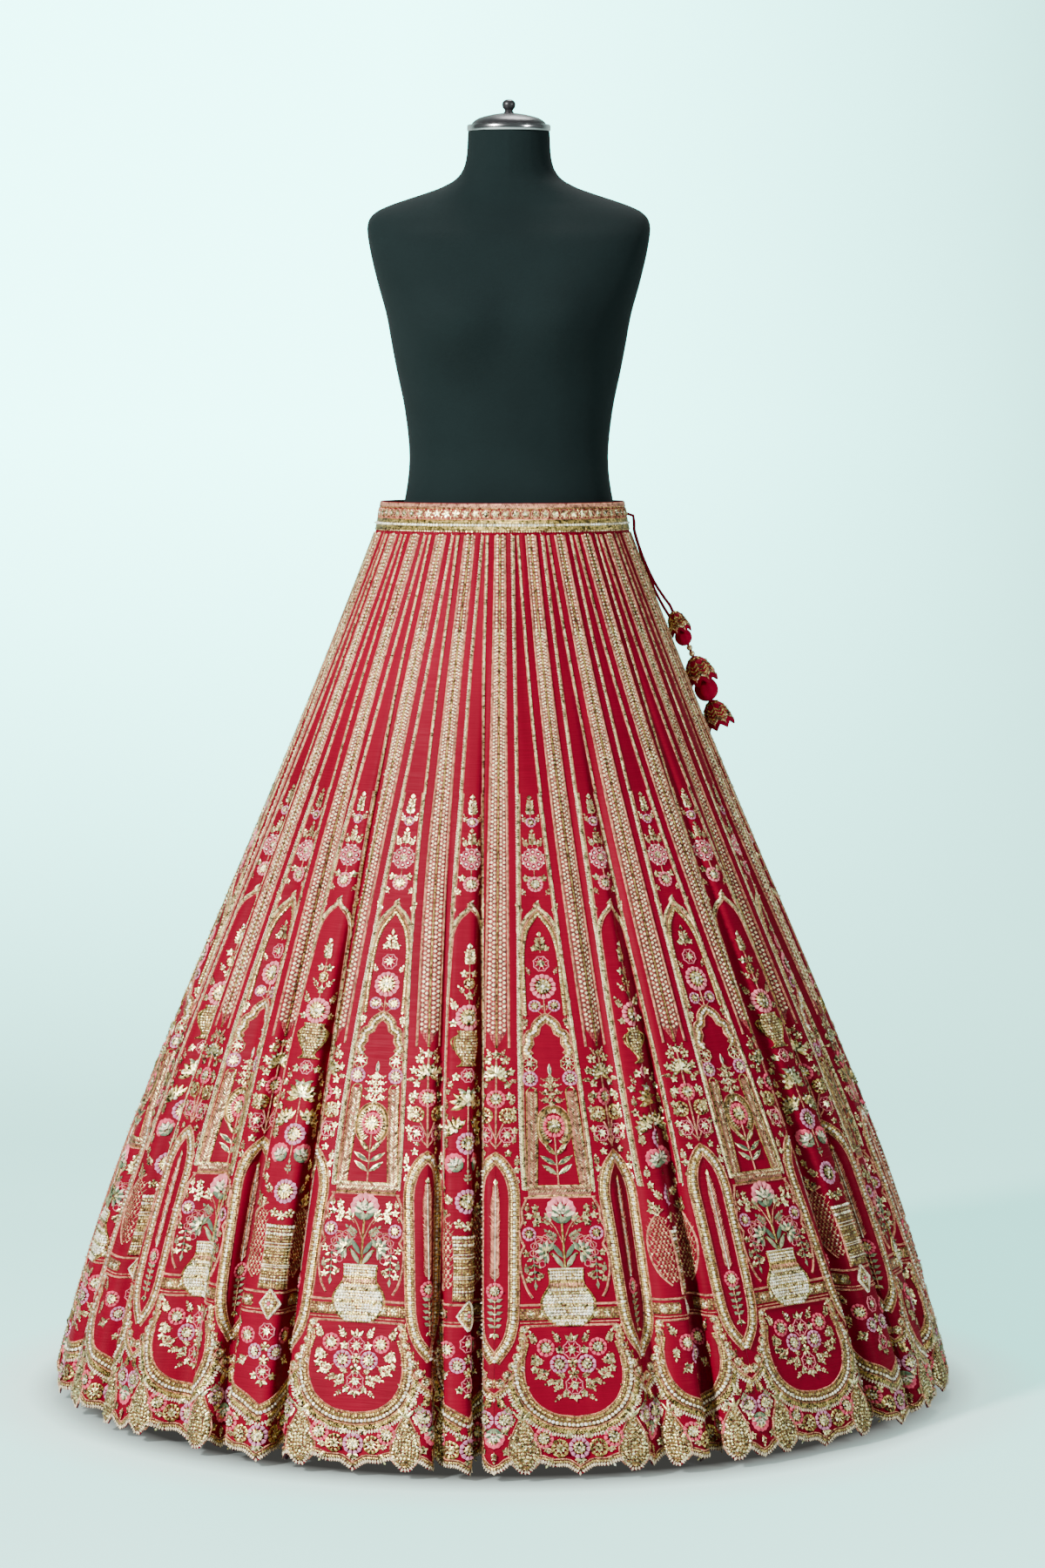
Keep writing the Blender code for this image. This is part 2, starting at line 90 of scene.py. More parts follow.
# each fold: degrees at the hem, half its width, depth, how far its mouth closes, its start
FOLDS = (
    (-84, 4, 0.027, 0.1, 0.1), (-73.5, 3.6, 0.031, 0.15, 0.15), (-62, 3.8, 0.03, 0.1, 0.12),
    (-45.5, 5, 0.034, 0, 0.2), (-37, 2.8, 0.031, 0.2, 0.1), (-28.6, 2.5, 0.046, 0.24, 0.12),
    (-17, 8, 0.006, 0, 0.3), (-7.7, 2, 0.035, 0.26, 0.3), (-3, 2, 0.042, 0.26, 0.12),
    (8.5, 7, 0.005, 0, 0.3), (19.8, 3, 0.022, 0.05, 0.15), (27, 2.8, 0.033, 0.2, 0.12),
    (41, 9, 0.006, 0, 0.3), (54, 3.2, 0.036, 0.15, 0.12), (63.5, 3.2, 0.033, 0.2, 0.1),
    (75, 3.8, 0.03, 0.1, 0.14), (87, 3.2, 0.035, 0.2, 0.1), (96, 2.9, 0.034, 0.2, 0.16),
    (109, 3.6, 0.031, 0.12, 0.1), (121.5, 3, 0.038, 0.22, 0.12), (131, 3.2, 0.03, 0.18, 0.18),
    (144.5, 3.6, 0.033, 0.12, 0.1), (156, 2.8, 0.038, 0.24, 0.14), (165, 3, 0.033, 0.18, 0.1),
    (179, 3.8, 0.03, 0.1, 0.16), (191.5, 3, 0.036, 0.22, 0.1), (201, 3, 0.032, 0.18, 0.14),
    (215, 3.6, 0.033, 0.12, 0.12), (227.5, 2.9, 0.038, 0.22, 0.1), (237, 3.2, 0.031, 0.16, 0.16),
    (249.5, 3.6, 0.033, 0.12, 0.12), (262, 3, 0.034, 0.2, 0.1),
)
FOLD_AT_HEM = np.array([(fold[0] - FIRST_SEAM) % 360 for fold in FOLDS])


def oval(share):
    """Half widths of the skirt's oval at a share of its length, from the waist down."""
    belly = BELLY * sin(pi * share * share)
    return (
        WAIST_X + (HEM_X - WAIST_X) * share + belly,
        WAIST_Y + (HEM_Y - WAIST_Y) * share + belly,
    )


def height(share):
    return WAIST_Z + (HEM_Z - WAIST_Z) * share


def folded_ring(share, centres):
    """The points of one level ring of cloth, from the first seam on round to it again."""
    degrees = FIRST_SEAM + np.linspace(0, 360, RING_STEPS + 1)
    half_x, half_y = oval(share)
    inward, sideways = np.zeros_like(degrees), np.zeros_like(degrees)
    for (_, half, depth, mouth, start), centre in zip(FOLDS, centres):
        grown = max(0, (share - start) / (1 - start)) ** FOLD_POWER
        across = np.clip(((degrees - centre + 180) % 360 - 180) / half, -1, 1)
        inward += grown * depth * (0.5 + 0.5 * np.cos(pi * across))
        sideways += grown * mouth * radians(half) * np.sin(2 * pi * across)
    left = max(0, 1 - share / GATHER_END) ** 2
    turns = np.radians(GATHERS * (degrees - FIRST_SEAM))
    inward += left * GATHER_DEPTH * (0.5 - 0.5 * np.cos(turns))
    angle = np.radians(degrees) + sideways
    return np.stack(
        [(half_x - inward) * np.sin(angle), -(half_y - inward) * np.cos(angle)], axis=1
    )


def run_along(points):
    steps = np.linalg.norm(np.diff(points, axis=0), axis=1)
    return np.concatenate([[0], np.cumsum(steps)])


hem_run = run_along(folded_ring(1, [fold[0] for fold in FOLDS]))
FOLD_PLACES = np.interp(
    FOLD_AT_HEM, np.linspace(0, 360, RING_STEPS + 1), hem_run / hem_run[-1] * KALIS
)
print("hem:", round(hem_run[-1], 2), "m round, so a kali is", round(hem_run[-1] / KALIS, 4), "m")

# %% [markdown]
# A grid of the cloth's points and of the way out at each is kept, and one function reads
# it. It turns a place in the flat cloth into a point in space: how many kalis round from
# the first seam, how far up from the hem line, and how far off the cloth.

# %% Grid of the cloth
GRID_ROWS, GRID_COLUMNS = 180, 64  # rows in all, and columns for each kali


def cloth_row(share):
    centres = FIRST_SEAM + FOLD_PLACES * 360 / KALIS
    centres = centres + (FOLD_AT_HEM - FOLD_PLACES * 360 / KALIS) * share
    ring = folded_ring(share, centres)
    run = run_along(ring)
    at = np.linspace(0, run[-1], KALIS * GRID_COLUMNS + 1)
    points = [np.interp(at, run, ring[:, k]) for k in (0, 1)]
    return np.stack([*points, np.full(len(at), height(share))], axis=1), run[-1] / KALIS


grid_shares = np.linspace(0, 1, GRID_ROWS + 1)
rows = [cloth_row(share) for share in grid_shares]
grid_points = np.array([row[0] for row in rows])
grid_widths = np.array([row[1] for row in rows])
round_it = np.roll(grid_points[:, :-1], -1, axis=1) - np.roll(grid_points[:, :-1], 1, axis=1)
round_it = np.concatenate([round_it, round_it[:, :1]], axis=1)
grid_out = np.cross(np.gradient(grid_points, axis=0), round_it)
grid_out /= np.linalg.norm(grid_out, axis=2)[:, :, None]
slope = run_along(np.array([(oval(share)[1], height(share)) for share in grid_shares]))
KALI_LONG = slope[-1]


def share_at(up):
    """The share of the length at a distance up from the hem line."""
    return np.interp(KALI_LONG - np.maximum(up, 0), slope, grid_shares)


def kali_wide(up):
    return np.interp(share_at(up), grid_shares, grid_widths)


def on_cloth(place, up, lift):
    """Points on the skirt: kalis round from the first seam, up from the hem line, and off
    the middle of the cloth. What hangs below the hem line hangs straight down."""
    place, up, lift = (np.asarray(x, float) for x in np.broadcast_arrays(place, up, lift))
    row = share_at(up) * GRID_ROWS
    column = (place % KALIS) * GRID_COLUMNS
    top = np.clip(row.astype(int), 0, GRID_ROWS - 1)
    left = np.clip(column.astype(int), 0, KALIS * GRID_COLUMNS - 1)
    down, over = (row - top)[:, None], (column - left)[:, None]

    def read(grid):
        upper = grid[top, left] * (1 - over) + grid[top, left + 1] * over
        lower = grid[top + 1, left] * (1 - over) + grid[top + 1, left + 1] * over
        return upper * (1 - down) + lower * down

    out = read(grid_out)
    points = read(grid_points) + out / np.linalg.norm(out, axis=1)[:, None] * lift[:, None]
    points[:, 2] += np.minimum(up, 0)
    return points


print("a kali is", round(KALI_LONG, 4), "m long and", round(grid_widths[0], 4), "m wide on top")

# %% [markdown]
# ## The drawstring
# The waistband closes with a drawstring of rolled silk. Its two ends come out of the
# opening at the side and hang down the skirt with their bells and balls. A cord is a real
# length of something limp, so it is a curve along one smooth route, and its length is
# measured from that route.

# %% Drawstring
BAND_HEIGHT, BAND_TOP_X, BAND_TOP_Y = 0.0347, 0.1425, 0.1075
CORD, CORD_POINT_STEP, CORD_CLEAR = 0.0035, 0.0085, 0.0012
SLOPE = radians(22.5)  # the skirt's side, off the upright

# height, degrees round the skirt, and how far out from its surface
SHORT_END = (
    (1.04, 88.9, 0.001), (1.04, 88.9, 0.006), (1.034, 89, 0.0085), (1.02, 89.4, 0.006),
    (0.99, 90.4, 0.004), (0.96, 91.4, 0.006), (0.94, 92, 0.011), (0.931, 92.2, 0.0142),
    (0.924, 92.3, 0.0147),
)
LONG_END = (
    (1.04, 91.1, 0.001), (1.04, 91.1, 0.006), (1.034, 91.4, 0.0085), (1.02, 92.4, 0.006),
    (0.99, 94.6, 0.004), (0.95, 97, 0.0045), (0.92, 98.6, 0.01), (0.9, 99.4, 0.0175),
    (0.89, 99.7, 0.0205), (0.883, 99.8, 0.021),
)


def beside_skirt(z, degrees, out):
    """A point just outside the skirt or the waistband."""
    if z > WAIST_Z:
        share = (z - WAIST_Z) / BAND_HEIGHT
        half_x = WAIST_X + (BAND_TOP_X - WAIST_X) * share
        half_y = WAIST_Y + (BAND_TOP_Y - WAIST_Y) * share
    else:
        half_x, half_y = oval((WAIST_Z - z) / (WAIST_Z - HEM_Z))
    turn = radians(degrees)
    return Vector(((half_x + out) * sin(turn), -(half_y + out) * cos(turn), z))


def smooth_through(points, steps):
    """A smooth curve through points, with steps between each two."""
    points = np.asarray(points, float)
    ends = np.concatenate(
        [[2 * points[0] - points[1]], points, [2 * points[-1] - points[-2]]]
    )
    fine = []
    for a, b, c, d in zip(ends, ends[1:], ends[2:], ends[3:]):
        t = np.linspace(0, 1, steps, endpoint=False)[:, None]
        fine.append(
            0.5 * (2 * b + (c - a) * t + (2 * a - 5 * b + 4 * c - d) * t**2
                   + (3 * b - a - 3 * c + d) * t**3)
        )
    return np.concatenate(fine + [points[-1:]])


def spread(path, step):
    """Points a step apart along a path."""
    run = run_along(path)
    at = np.linspace(0, run[-1], max(2, round(run[-1] / step)) + 1)
    return np.stack([np.interp(at, run, path[:, k]) for k in range(path.shape[1])], axis=1)


def down_slope(degrees):
    """The way down the skirt's side."""
    turn = radians(degrees)
    return Vector((sin(SLOPE) * sin(turn), -sin(SLOPE) * cos(turn), -cos(SLOPE)))


def make_cord(name, route, threaded):
    """A curve along the route and on through what is threaded on it, with its length."""
    through = [beside_skirt(z, degrees, out + CORD_CLEAR) for z, degrees, out in route]
    points = spread(smooth_through(through, 24), CORD_POINT_STEP)
    outside = len(points)
    inside = np.arange(1, ceil(threaded / CORD_POINT_STEP) + 1)[:, None] * CORD_POINT_STEP
    inside = np.minimum(inside, threaded)
    points = np.concatenate([points, points[-1] + inside * np.array(down_slope(route[-1][1]))])
    curve = bpy.data.curves.new(name, "CURVE")
    curve.dimensions = "3D"
    curve.bevel_depth = 0.5 * CORD
    curve.bevel_resolution = 4
    curve.use_fill_caps = True
    spline = curve.splines.new("POLY")
    spline.points.add(len(points) - 1)
    for place, point in zip(spline.points, points):
        place.co = (*point, 1)
    made = bpy.data.objects.new(name, curve)
    bpy.context.scene.collection.objects.link(made)
    return made, points, points[outside - 1], float(run_along(points)[-1])


cords = {
    "short": make_cord("dori_short", SHORT_END, 0.03),
    "long": make_cord("dori_long", LONG_END, 0.074),
}
for side, (_, _, _, length) in cords.items():
    print("the", side, "end of the drawstring is", round(length, 4), "m")

# %% [markdown]
# ## Shader sums
# A cloth's colour and roughness come from patterns that are mixed together. Written as
# node links that is hard to read, so a small class wraps a node's output and lets it stand
# in an ordinary sum, and a second one holds a material and adds its nodes.

# %% Helpers for materials
class Value:
    """A node's output that can stand in a sum."""

    def __init__(self, finish, output):
        self.finish, self.output = finish, output

    def math(self, operation, *values):
        return self.finish.add("Math", {"operation": operation}, dict(enumerate(values)))

    def __add__(self, other):
        return self.math("ADD", self, other)

    def __sub__(self, other):
        return self.math("SUBTRACT", self, other)

    def __rsub__(self, other):
        return self.math("SUBTRACT", other, self)

    def __mul__(self, other):
        return self.math("MULTIPLY", self, other)

    __radd__, __rmul__ = __add__, __mul__

    def between(self, low, high):
        """0 below low, 1 above high, and even between."""
        return self.finish.add("MapRange", {}, {0: self, 1: low, 2: high, 3: 0, 4: 1})


class Finish:
    """A material and the nodes that it is made of."""

    def __init__(self, name, **sockets):
        self.material = bpy.data.materials.new(name)
        self.material.use_nodes = True
        self.nodes = self.material.node_tree.nodes
        self.shader = self.nodes["Principled BSDF"]
        for socket, value in sockets.items():
            self.put(self.shader, socket.replace("_", " "), value)

    def put(self, node, key, value):
        socket = node.inputs[key]
        if isinstance(value, Value):
            self.material.node_tree.links.new(value.output, socket)
        elif socket.type == "RGBA" and len(value) == 3:
            socket.default_value = (*value, 1)
        else:
            socket.default_value = value

    def add(self, kind, settings, values, output=0):
        node = self.nodes.new("ShaderNode" + kind)
        for name, value in settings.items():
            setattr(node, name, value)
        for key, value in values.items():
            self.put(node, key, value)
        return Value(self, node.outputs[output])

    def blend(self, share, first, second):
        """A colour between two, by a share."""
        return self.add("Mix", {"data_type": "RGBA"}, {0: share, 6: first, 7: second}, 2)

    def place(self, stretch=(1, 1, 1), source="Object"):
        """The piece's own coordinates, stretched."""
        found = self.add("TexCoord", {}, {}, ("Generated", "Normal", "UV", "Object").index(source))
        return self.add("Mapping", {}, {"Vector": found, "Scale": stretch})

    def noise(self, where, scale, detail):
        return self.add("TexNoise", {}, {"Vector": where, "Scale": scale, "Detail": detail})

    def set(self, **sockets):
        for socket, value in sockets.items():
            self.put(self.shader, socket.replace("_", " "), value)

    def bump(self, tall, distance, strength=1):
        values = {"Height": tall, "Distance": distance, "Strength": strength}
        self.set(Normal=self.add("Bump", {}, values))


print("materials are written with", Value.__name__, "and", Finish.__name__)

# %% [markdown]
# ## The silk
# The kalis are raw silk: a tight plain weave in which thicker threads, the slubs, run
# across the cloth here and there. The pattern follows each kali's own UV map, which is in
# metres of cloth, so the slubs stay across the panel as it flares and folds.

# %% Silk, lining and cord finishes
UV_METRES = 1.2  # a UV map's whole width in metres of cloth
CRIMSON, DEEP_CRIMSON = (0.192, 0.0002, 0.0135), (0.112, 0.0001, 0.007)


def make_silk(name, source, stretch, painted_light=1):
    silk = Finish(name, Specular_IOR_Level=0.05)
    slubs = silk.noise(silk.place((26 * stretch, 640 * stretch, 1), source), 1, 1.5)
    threads = silk.noise(silk.place((1500 * stretch, 1500 * stretch, 1), source), 1, 0)
    cloudy = silk.noise(silk.place((9 * stretch, 3.5 * stretch, 1), source), 1, 2.5)
    creases = silk.noise(silk.place((70 * stretch, 5 * stretch, 1), source), 1, 1)
    streaks = slubs.between(0.36, 0.68)
    # the creases share in the tone, so the silk is painted a little darker in their hollows:
    # painted shade
    tone = streaks * 0.12 + cloudy * 0.68 + creases * 0.2
    # painted_light makes a lighter copy of the silk, standing in for light that falls on it
    deep, full = (tuple(painted_light * x for x in colour) for colour in (DEEP_CRIMSON, CRIMSON))
    silk.set(
        Base_Color=silk.blend(tone.between(0.3, 0.72), deep, full),
        Roughness=0.66 - streaks * 0.16,
    )
    silk.bump(streaks * 0.15 + threads * 0.1 + creases, 0.0012, 0.5)
    return silk.material


silk = make_silk("crimson raw silk", "UV", UV_METRES)
cord_silk = make_silk("rolled silk cord", "Object", 1)

lining = Finish("plum lining", Sheen_Weight=0.15, Roughness=0.42)
weave = lining.noise(lining.place((1400, 300, 1), "UV"), 1, 1)
lining.set(Base_Color=lining.blend(weave, (0.06, 0.003, 0.015), (0.11, 0.005, 0.026)))
lining.bump(weave, 0.0002, 0.4)
for cord, _, _, _ in cords.values():
    cord.data.materials.append(cord_silk)
print("silk finishes made")

# %% [markdown]
# ## The kalis
# Each kali is a grid laid on the surface, with its lower edge cut in lobes, and Solidify
# gives it a thin wall whose inside takes the lining's finish. Grids were chosen over a
# cloth simulation because the folds are known one by one and every panel has to meet its
# neighbours along the seams.

# %% Kalis
KALI_COLUMNS, KALI_ROWS = 40, 34
KALI_WALL = 0.0014
FACE = 0.5 * CLOTH  # the outer face, off the middle of the cloth
UV_SHIFT = 0.013  # every kali shows another part of the slubs

# half of a kali's hem, from its seam to its middle: the share of the width and the drop
LOBES = (
    (0, 0.013), (0.05, 0.009), (0.1, 0.001), (0.15, 0.012), (0.2, 0.013), (0.26, 0),
    (0.34, 0.006), (0.42, 0.006), (0.5, 0.016),
)
HEM_BLEND = 9  # how soon the rows above the hem forget its lobes


def look_up(table, at):
    """The second column of a table, read at a value of its first one."""
    return np.interp(at, *zip(*table))


def hem_drop(across):
    """How far the hem hangs below its line at a share across a kali."""
    return look_up(LOBES, np.minimum(across, 1 - across))


def deselect():
    if bpy.context.object and bpy.context.object.mode != "OBJECT":
        bpy.ops.object.mode_set(mode="OBJECT")
    bpy.ops.object.select_all(action="DESELECT")


def choose(piece):
    """Only this piece is selected, and it is the active one."""
    deselect()
    piece.select_set(True)
    bpy.context.view_layer.objects.active = piece


def points_of(piece):
    found = np.empty(len(piece.data.vertices) * 3)
    piece.data.vertices.foreach_get("co", found)
    return found.reshape(-1, 3)


def move_points(piece, points):
    piece.data.vertices.foreach_set("co", np.ascontiguousarray(points).ravel())
    piece.data.update()


def new_grid(name, columns, rows):
    """A flat grid, with each point's share to the right and up."""
    deselect()
    bpy.ops.mesh.primitive_grid_add(x_subdivisions=columns, y_subdivisions=rows, size=1)
    piece = bpy.context.object
    piece.name = piece.data.name = name
    flat = points_of(piece) + 0.5
    return piece, flat[:, 0], flat[:, 1]


def set_uv(piece, u, v):
    """Gives each point of a piece its place in the UV map."""
    corners = np.empty(len(piece.data.loops), int)
    piece.data.loops.foreach_get("vertex_index", corners)
    piece.data.uv_layers[0].data.foreach_set("uv", np.stack([u, v], axis=1)[corners].ravel())


def apply_modifier(piece, kind, **settings):
    modifier = piece.modifiers.new(kind.lower(), kind)
    for name, value in settings.items():
        setattr(modifier, name, value)
    bpy.context.view_layer.objects.active = piece
    bpy.ops.object.modifier_apply(modifier=modifier.name)


def smooth(piece, degrees):
    choose(piece)
    bpy.ops.object.shade_smooth_by_angle(angle=radians(degrees))


def make_wall(piece, thickness, rim):
    """Silk outside, lining inside and a thin wall between them."""
    piece.data.materials.append(silk)
    piece.data.materials.append(lining.material)
    apply_modifier(piece, "SOLIDIFY", thickness=thickness, offset=-1, material_offset=1,
                   material_offset_rim=rim)
    smooth(piece, 50)
    return piece


def make_kali(number):
    piece, right, up = new_grid(f"kali_silk_{number + 1:02d}", KALI_COLUMNS, KALI_ROWS)
    high = up * KALI_LONG - (1 - up) ** HEM_BLEND * hem_drop(right)
    trim = 0.5 * SEAM_GAP / kali_wide(high)
    across = trim + (1 - 2 * trim) * right
    move_points(piece, on_cloth(number + across, high, FACE))
    flat = 0.5 + (right - 0.5) * kali_wide(high) / UV_METRES + UV_SHIFT * number
    set_uv(piece, flat, high / UV_METRES)
    return make_wall(piece, KALI_WALL, 1)


kalis = [make_kali(number) for number in range(KALIS)]
print(len(kalis), "kalis,", sum(len(kali.data.polygons) for kali in kalis), "faces")

# %% [markdown]
# ## Small shapes for the embroidery
# Gold embroidery is thousands of the same few things: beads, pearls, padded petals, leaves
# and loops of wire. Each is modelled once, as a small open dome of a few faces, and its
# points are kept so that copies can be laid down by the thousand as one mesh. A few dozen
# faces would be too many here, so a bead has four to six and a small leaf only two.

# %% Stamps
def keep_shape(piece):
    """The points and triangles of a small piece, which is then removed."""
    choose(piece)
    bpy.ops.object.transform_apply()
    apply_modifier(piece, "TRIANGULATE")
    triangles = np.array([tuple(face.vertices) for face in piece.data.polygons])
    points = points_of(piece)
    bpy.data.objects.remove(piece)
    return points, triangles


def make_dome(sides, tall):
    """A low cone, open below, one unit across."""
    deselect()
    bpy.ops.mesh.primitive_cone_add(
        vertices=sides, radius1=0.5, radius2=0, depth=tall, end_fill_type="NGON",
        location=(0, 0, 0.5 * tall),
    )
    piece = bpy.context.object
    bpy.ops.object.mode_set(mode="EDIT")
    bpy.ops.mesh.select_mode(type="FACE")
    bpy.ops.mesh.select_all(action="DESELECT")
    bpy.ops.object.mode_set(mode="OBJECT")
    for face in piece.data.polygons:
        face.select = face.normal.z < -0.9
    bpy.ops.object.mode_set(mode="EDIT")
    bpy.ops.mesh.delete(type="FACE")
    bpy.ops.object.mode_set(mode="OBJECT")
    return keep_shape(piece)


def make_blade(outline, crest):
    """A padded leaf or petal from its root to its tip along Y. The outline gives half of its
    width at shares of its length, and the crest the place and height of its middle."""
    sides = 2 * len(outline) + 2
    deselect()
    bpy.ops.mesh.primitive_circle_add(vertices=sides, radius=0.5, fill_type="TRIFAN")
    piece = bpy.context.object
    right = [(half, along, 0) for along, half in outline]
    left = [(-half, along, 0) for along, half in reversed(outline)]
    rim = [(0, 0, 0), *right, (0, 1, 0), *left]
    points = points_of(piece)
    middle = int(np.argmin(np.linalg.norm(points, axis=1)))
    others = [k for k in range(len(points)) if k != middle]
    others.sort(key=lambda k: np.arctan2(points[k, 1], points[k, 0]) % (2 * pi))
    for k, place in zip(others, rim):
        points[k] = place
    points[middle] = (0, crest[0], crest[1])
    move_points(piece, points)
    return keep_shape(piece)


def make_fold(widest, tall):
    """A small leaf or a stitch: two faces that meet in a ridge from its root to its tip."""
    deselect()
    bpy.ops.mesh.primitive_circle_add(vertices=4, radius=0.5, fill_type="NGON")
    piece = bpy.context.object
    points = points_of(piece)
    order = np.argsort((np.arctan2(points[:, 1], points[:, 0]) + 0.5 * pi + 0.1) % (2 * pi))
    points[order] = ((0, 0, tall), (0.5, widest, 0), (0, 1, tall), (-0.5, widest, 0))
    move_points(piece, points)
    points, _ = keep_shape(piece)
    return points, np.array([order[[0, 1, 2]], order[[0, 2, 3]]])


SHAPES = {
    "seed": make_dome(4, 0.42),
    "pearl": make_dome(6, 0.5),
    "petal": make_blade(((0.35, 0.3), (0.8, 0.48)), (0.62, 0.28)),
    "blade": make_blade(((0.3, 0.36), (0.66, 0.34)), (0.48, 0.3)),
    "leaf": make_fold(0.48, 0.26),
    "spine": make_fold(0.5, 0.5),
}
for name, (points, triangles) in SHAPES.items():
    print(name, "has", len(points), "points and", len(triangles), "faces")

# %% [markdown]
# ## Drawing flat, as an embroiderer does
# The design is drawn flat, in millimetres, on half of a motif, and pricked through to the
# other half. First come the threads' tints and the paths that their rows follow.

# %% Tints and paths
TINTS = {  # colour, and how much of a metal's shine it has
    "gold": (0.45, 0.33, 0.1, 0.92),
    "pale": (0.8, 0.66, 0.29, 0.9),
    "white": (1, 0.92, 0.64, 0.45),
    "pearl": (1, 0.8, 0.44, 0.3),
    "old": (0.2, 0.125, 0.036, 0.75),
    "rose": (0.56, 0.24, 0.14, 0.55),
    "brown": (0.3, 0.11, 0.065, 0.45),
    "ruby": (0.23, 0.035, 0.03, 0.25),
    "pink": (0.6, 0.06, 0.11, 0),
    "blush": (0.68, 0.17, 0.21, 0),
    "mauve": (0.52, 0.19, 0.31, 0),
    "cream": (0.72, 0.6, 0.4, 0.15),
    "sage": (0.2, 0.23, 0.12, 0.3),
    "green": (0.06, 0.11, 0.06, 0.15),
}
TINT_NAMES = list(TINTS)
SIDES = (-1, 1)  # left and right of the middle line
LINE_STEP = 4.2


def turned_about(count, sweep=360, first=0):
    """Turns in degrees, spread evenly: all round, or over a fan about first."""
    if sweep >= 360:
        return first + np.arange(count) * 360 / count
    return first + np.linspace(-0.5 * sweep, 0.5 * sweep, count)


def polar(centre, radius, turns):
    """Places round a centre. Turns are anticlockwise from straight up."""
    turns = np.radians(turns)
    return np.stack(
        [centre[0] - radius * np.sin(turns), centre[1] + radius * np.cos(turns)], axis=1
    )


def normals_of(path, closed=False):
    """The way to the left of a path at each of its points."""
    if closed:
        along = np.roll(path, -1, axis=0) - np.roll(path, 1, axis=0)
    else:
        along = np.gradient(path, axis=0)
    along /= np.maximum(np.linalg.norm(along, axis=1), 1e-9)[:, None]
    return np.stack([-along[:, 1], along[:, 0]], axis=1)


def beside(path, distance):
    """A path to the left of another one by a distance."""
    return path + normals_of(path) * distance


def curve(points, step=LINE_STEP):
    """A smooth path through points."""
    return spread(smooth_through(points, 12), step)


def straight(points, step=LINE_STEP):
    """A path with corners through points."""
    parts = [spread(np.array([a, b], float), step) for a, b in zip(points, points[1:])]
    return np.concatenate([part[:-1] for part in parts] + [parts[-1][-1:]])


def level(half, up, step=LINE_STEP):
    """A straight path across the middle line."""
    return straight([(-half, up), (half, up)], step)


def upright(low, high, step=LINE_STEP):
    """A straight path up the middle line."""
    return straight([(0, low), (0, high)], step)


def both(half):
    """A path from a half that ends on the middle line, with its mirror."""
    other = half[:-1] * (-1, 1)
    return np.concatenate([half, other[::-1]])


def grid_faces(rows, columns, closed=False):
    """The triangles between rows of points, and back to the first row if it is closed."""
    starts = np.arange(rows if closed else rows - 1)[:, None] * columns
    near = (starts + np.arange(columns - 1)).ravel()
    far = (near + columns) % (rows * columns)
    return np.concatenate(
        [np.stack([near, near + 1, far + 1], 1), np.stack([near, far + 1, far], 1)]
    )


print("tints:", ", ".join(TINT_NAMES))

# %% [markdown]
# A Drawing holds the design: stamps, raised lines, filled strips and filled patches. Only
# when it is finished is it laid on the skirt.

# %% Drawing
SUNK = -0.45  # how far a raised line's edges go into the cloth
STRIP_STEP = 4.6  # the widest face across a strip or a patch
TILT = 0.45  # how unevenly small things are sewn down
STITCHES = ("plain", "beads", "slanted")  # what a strip's surface is worked in


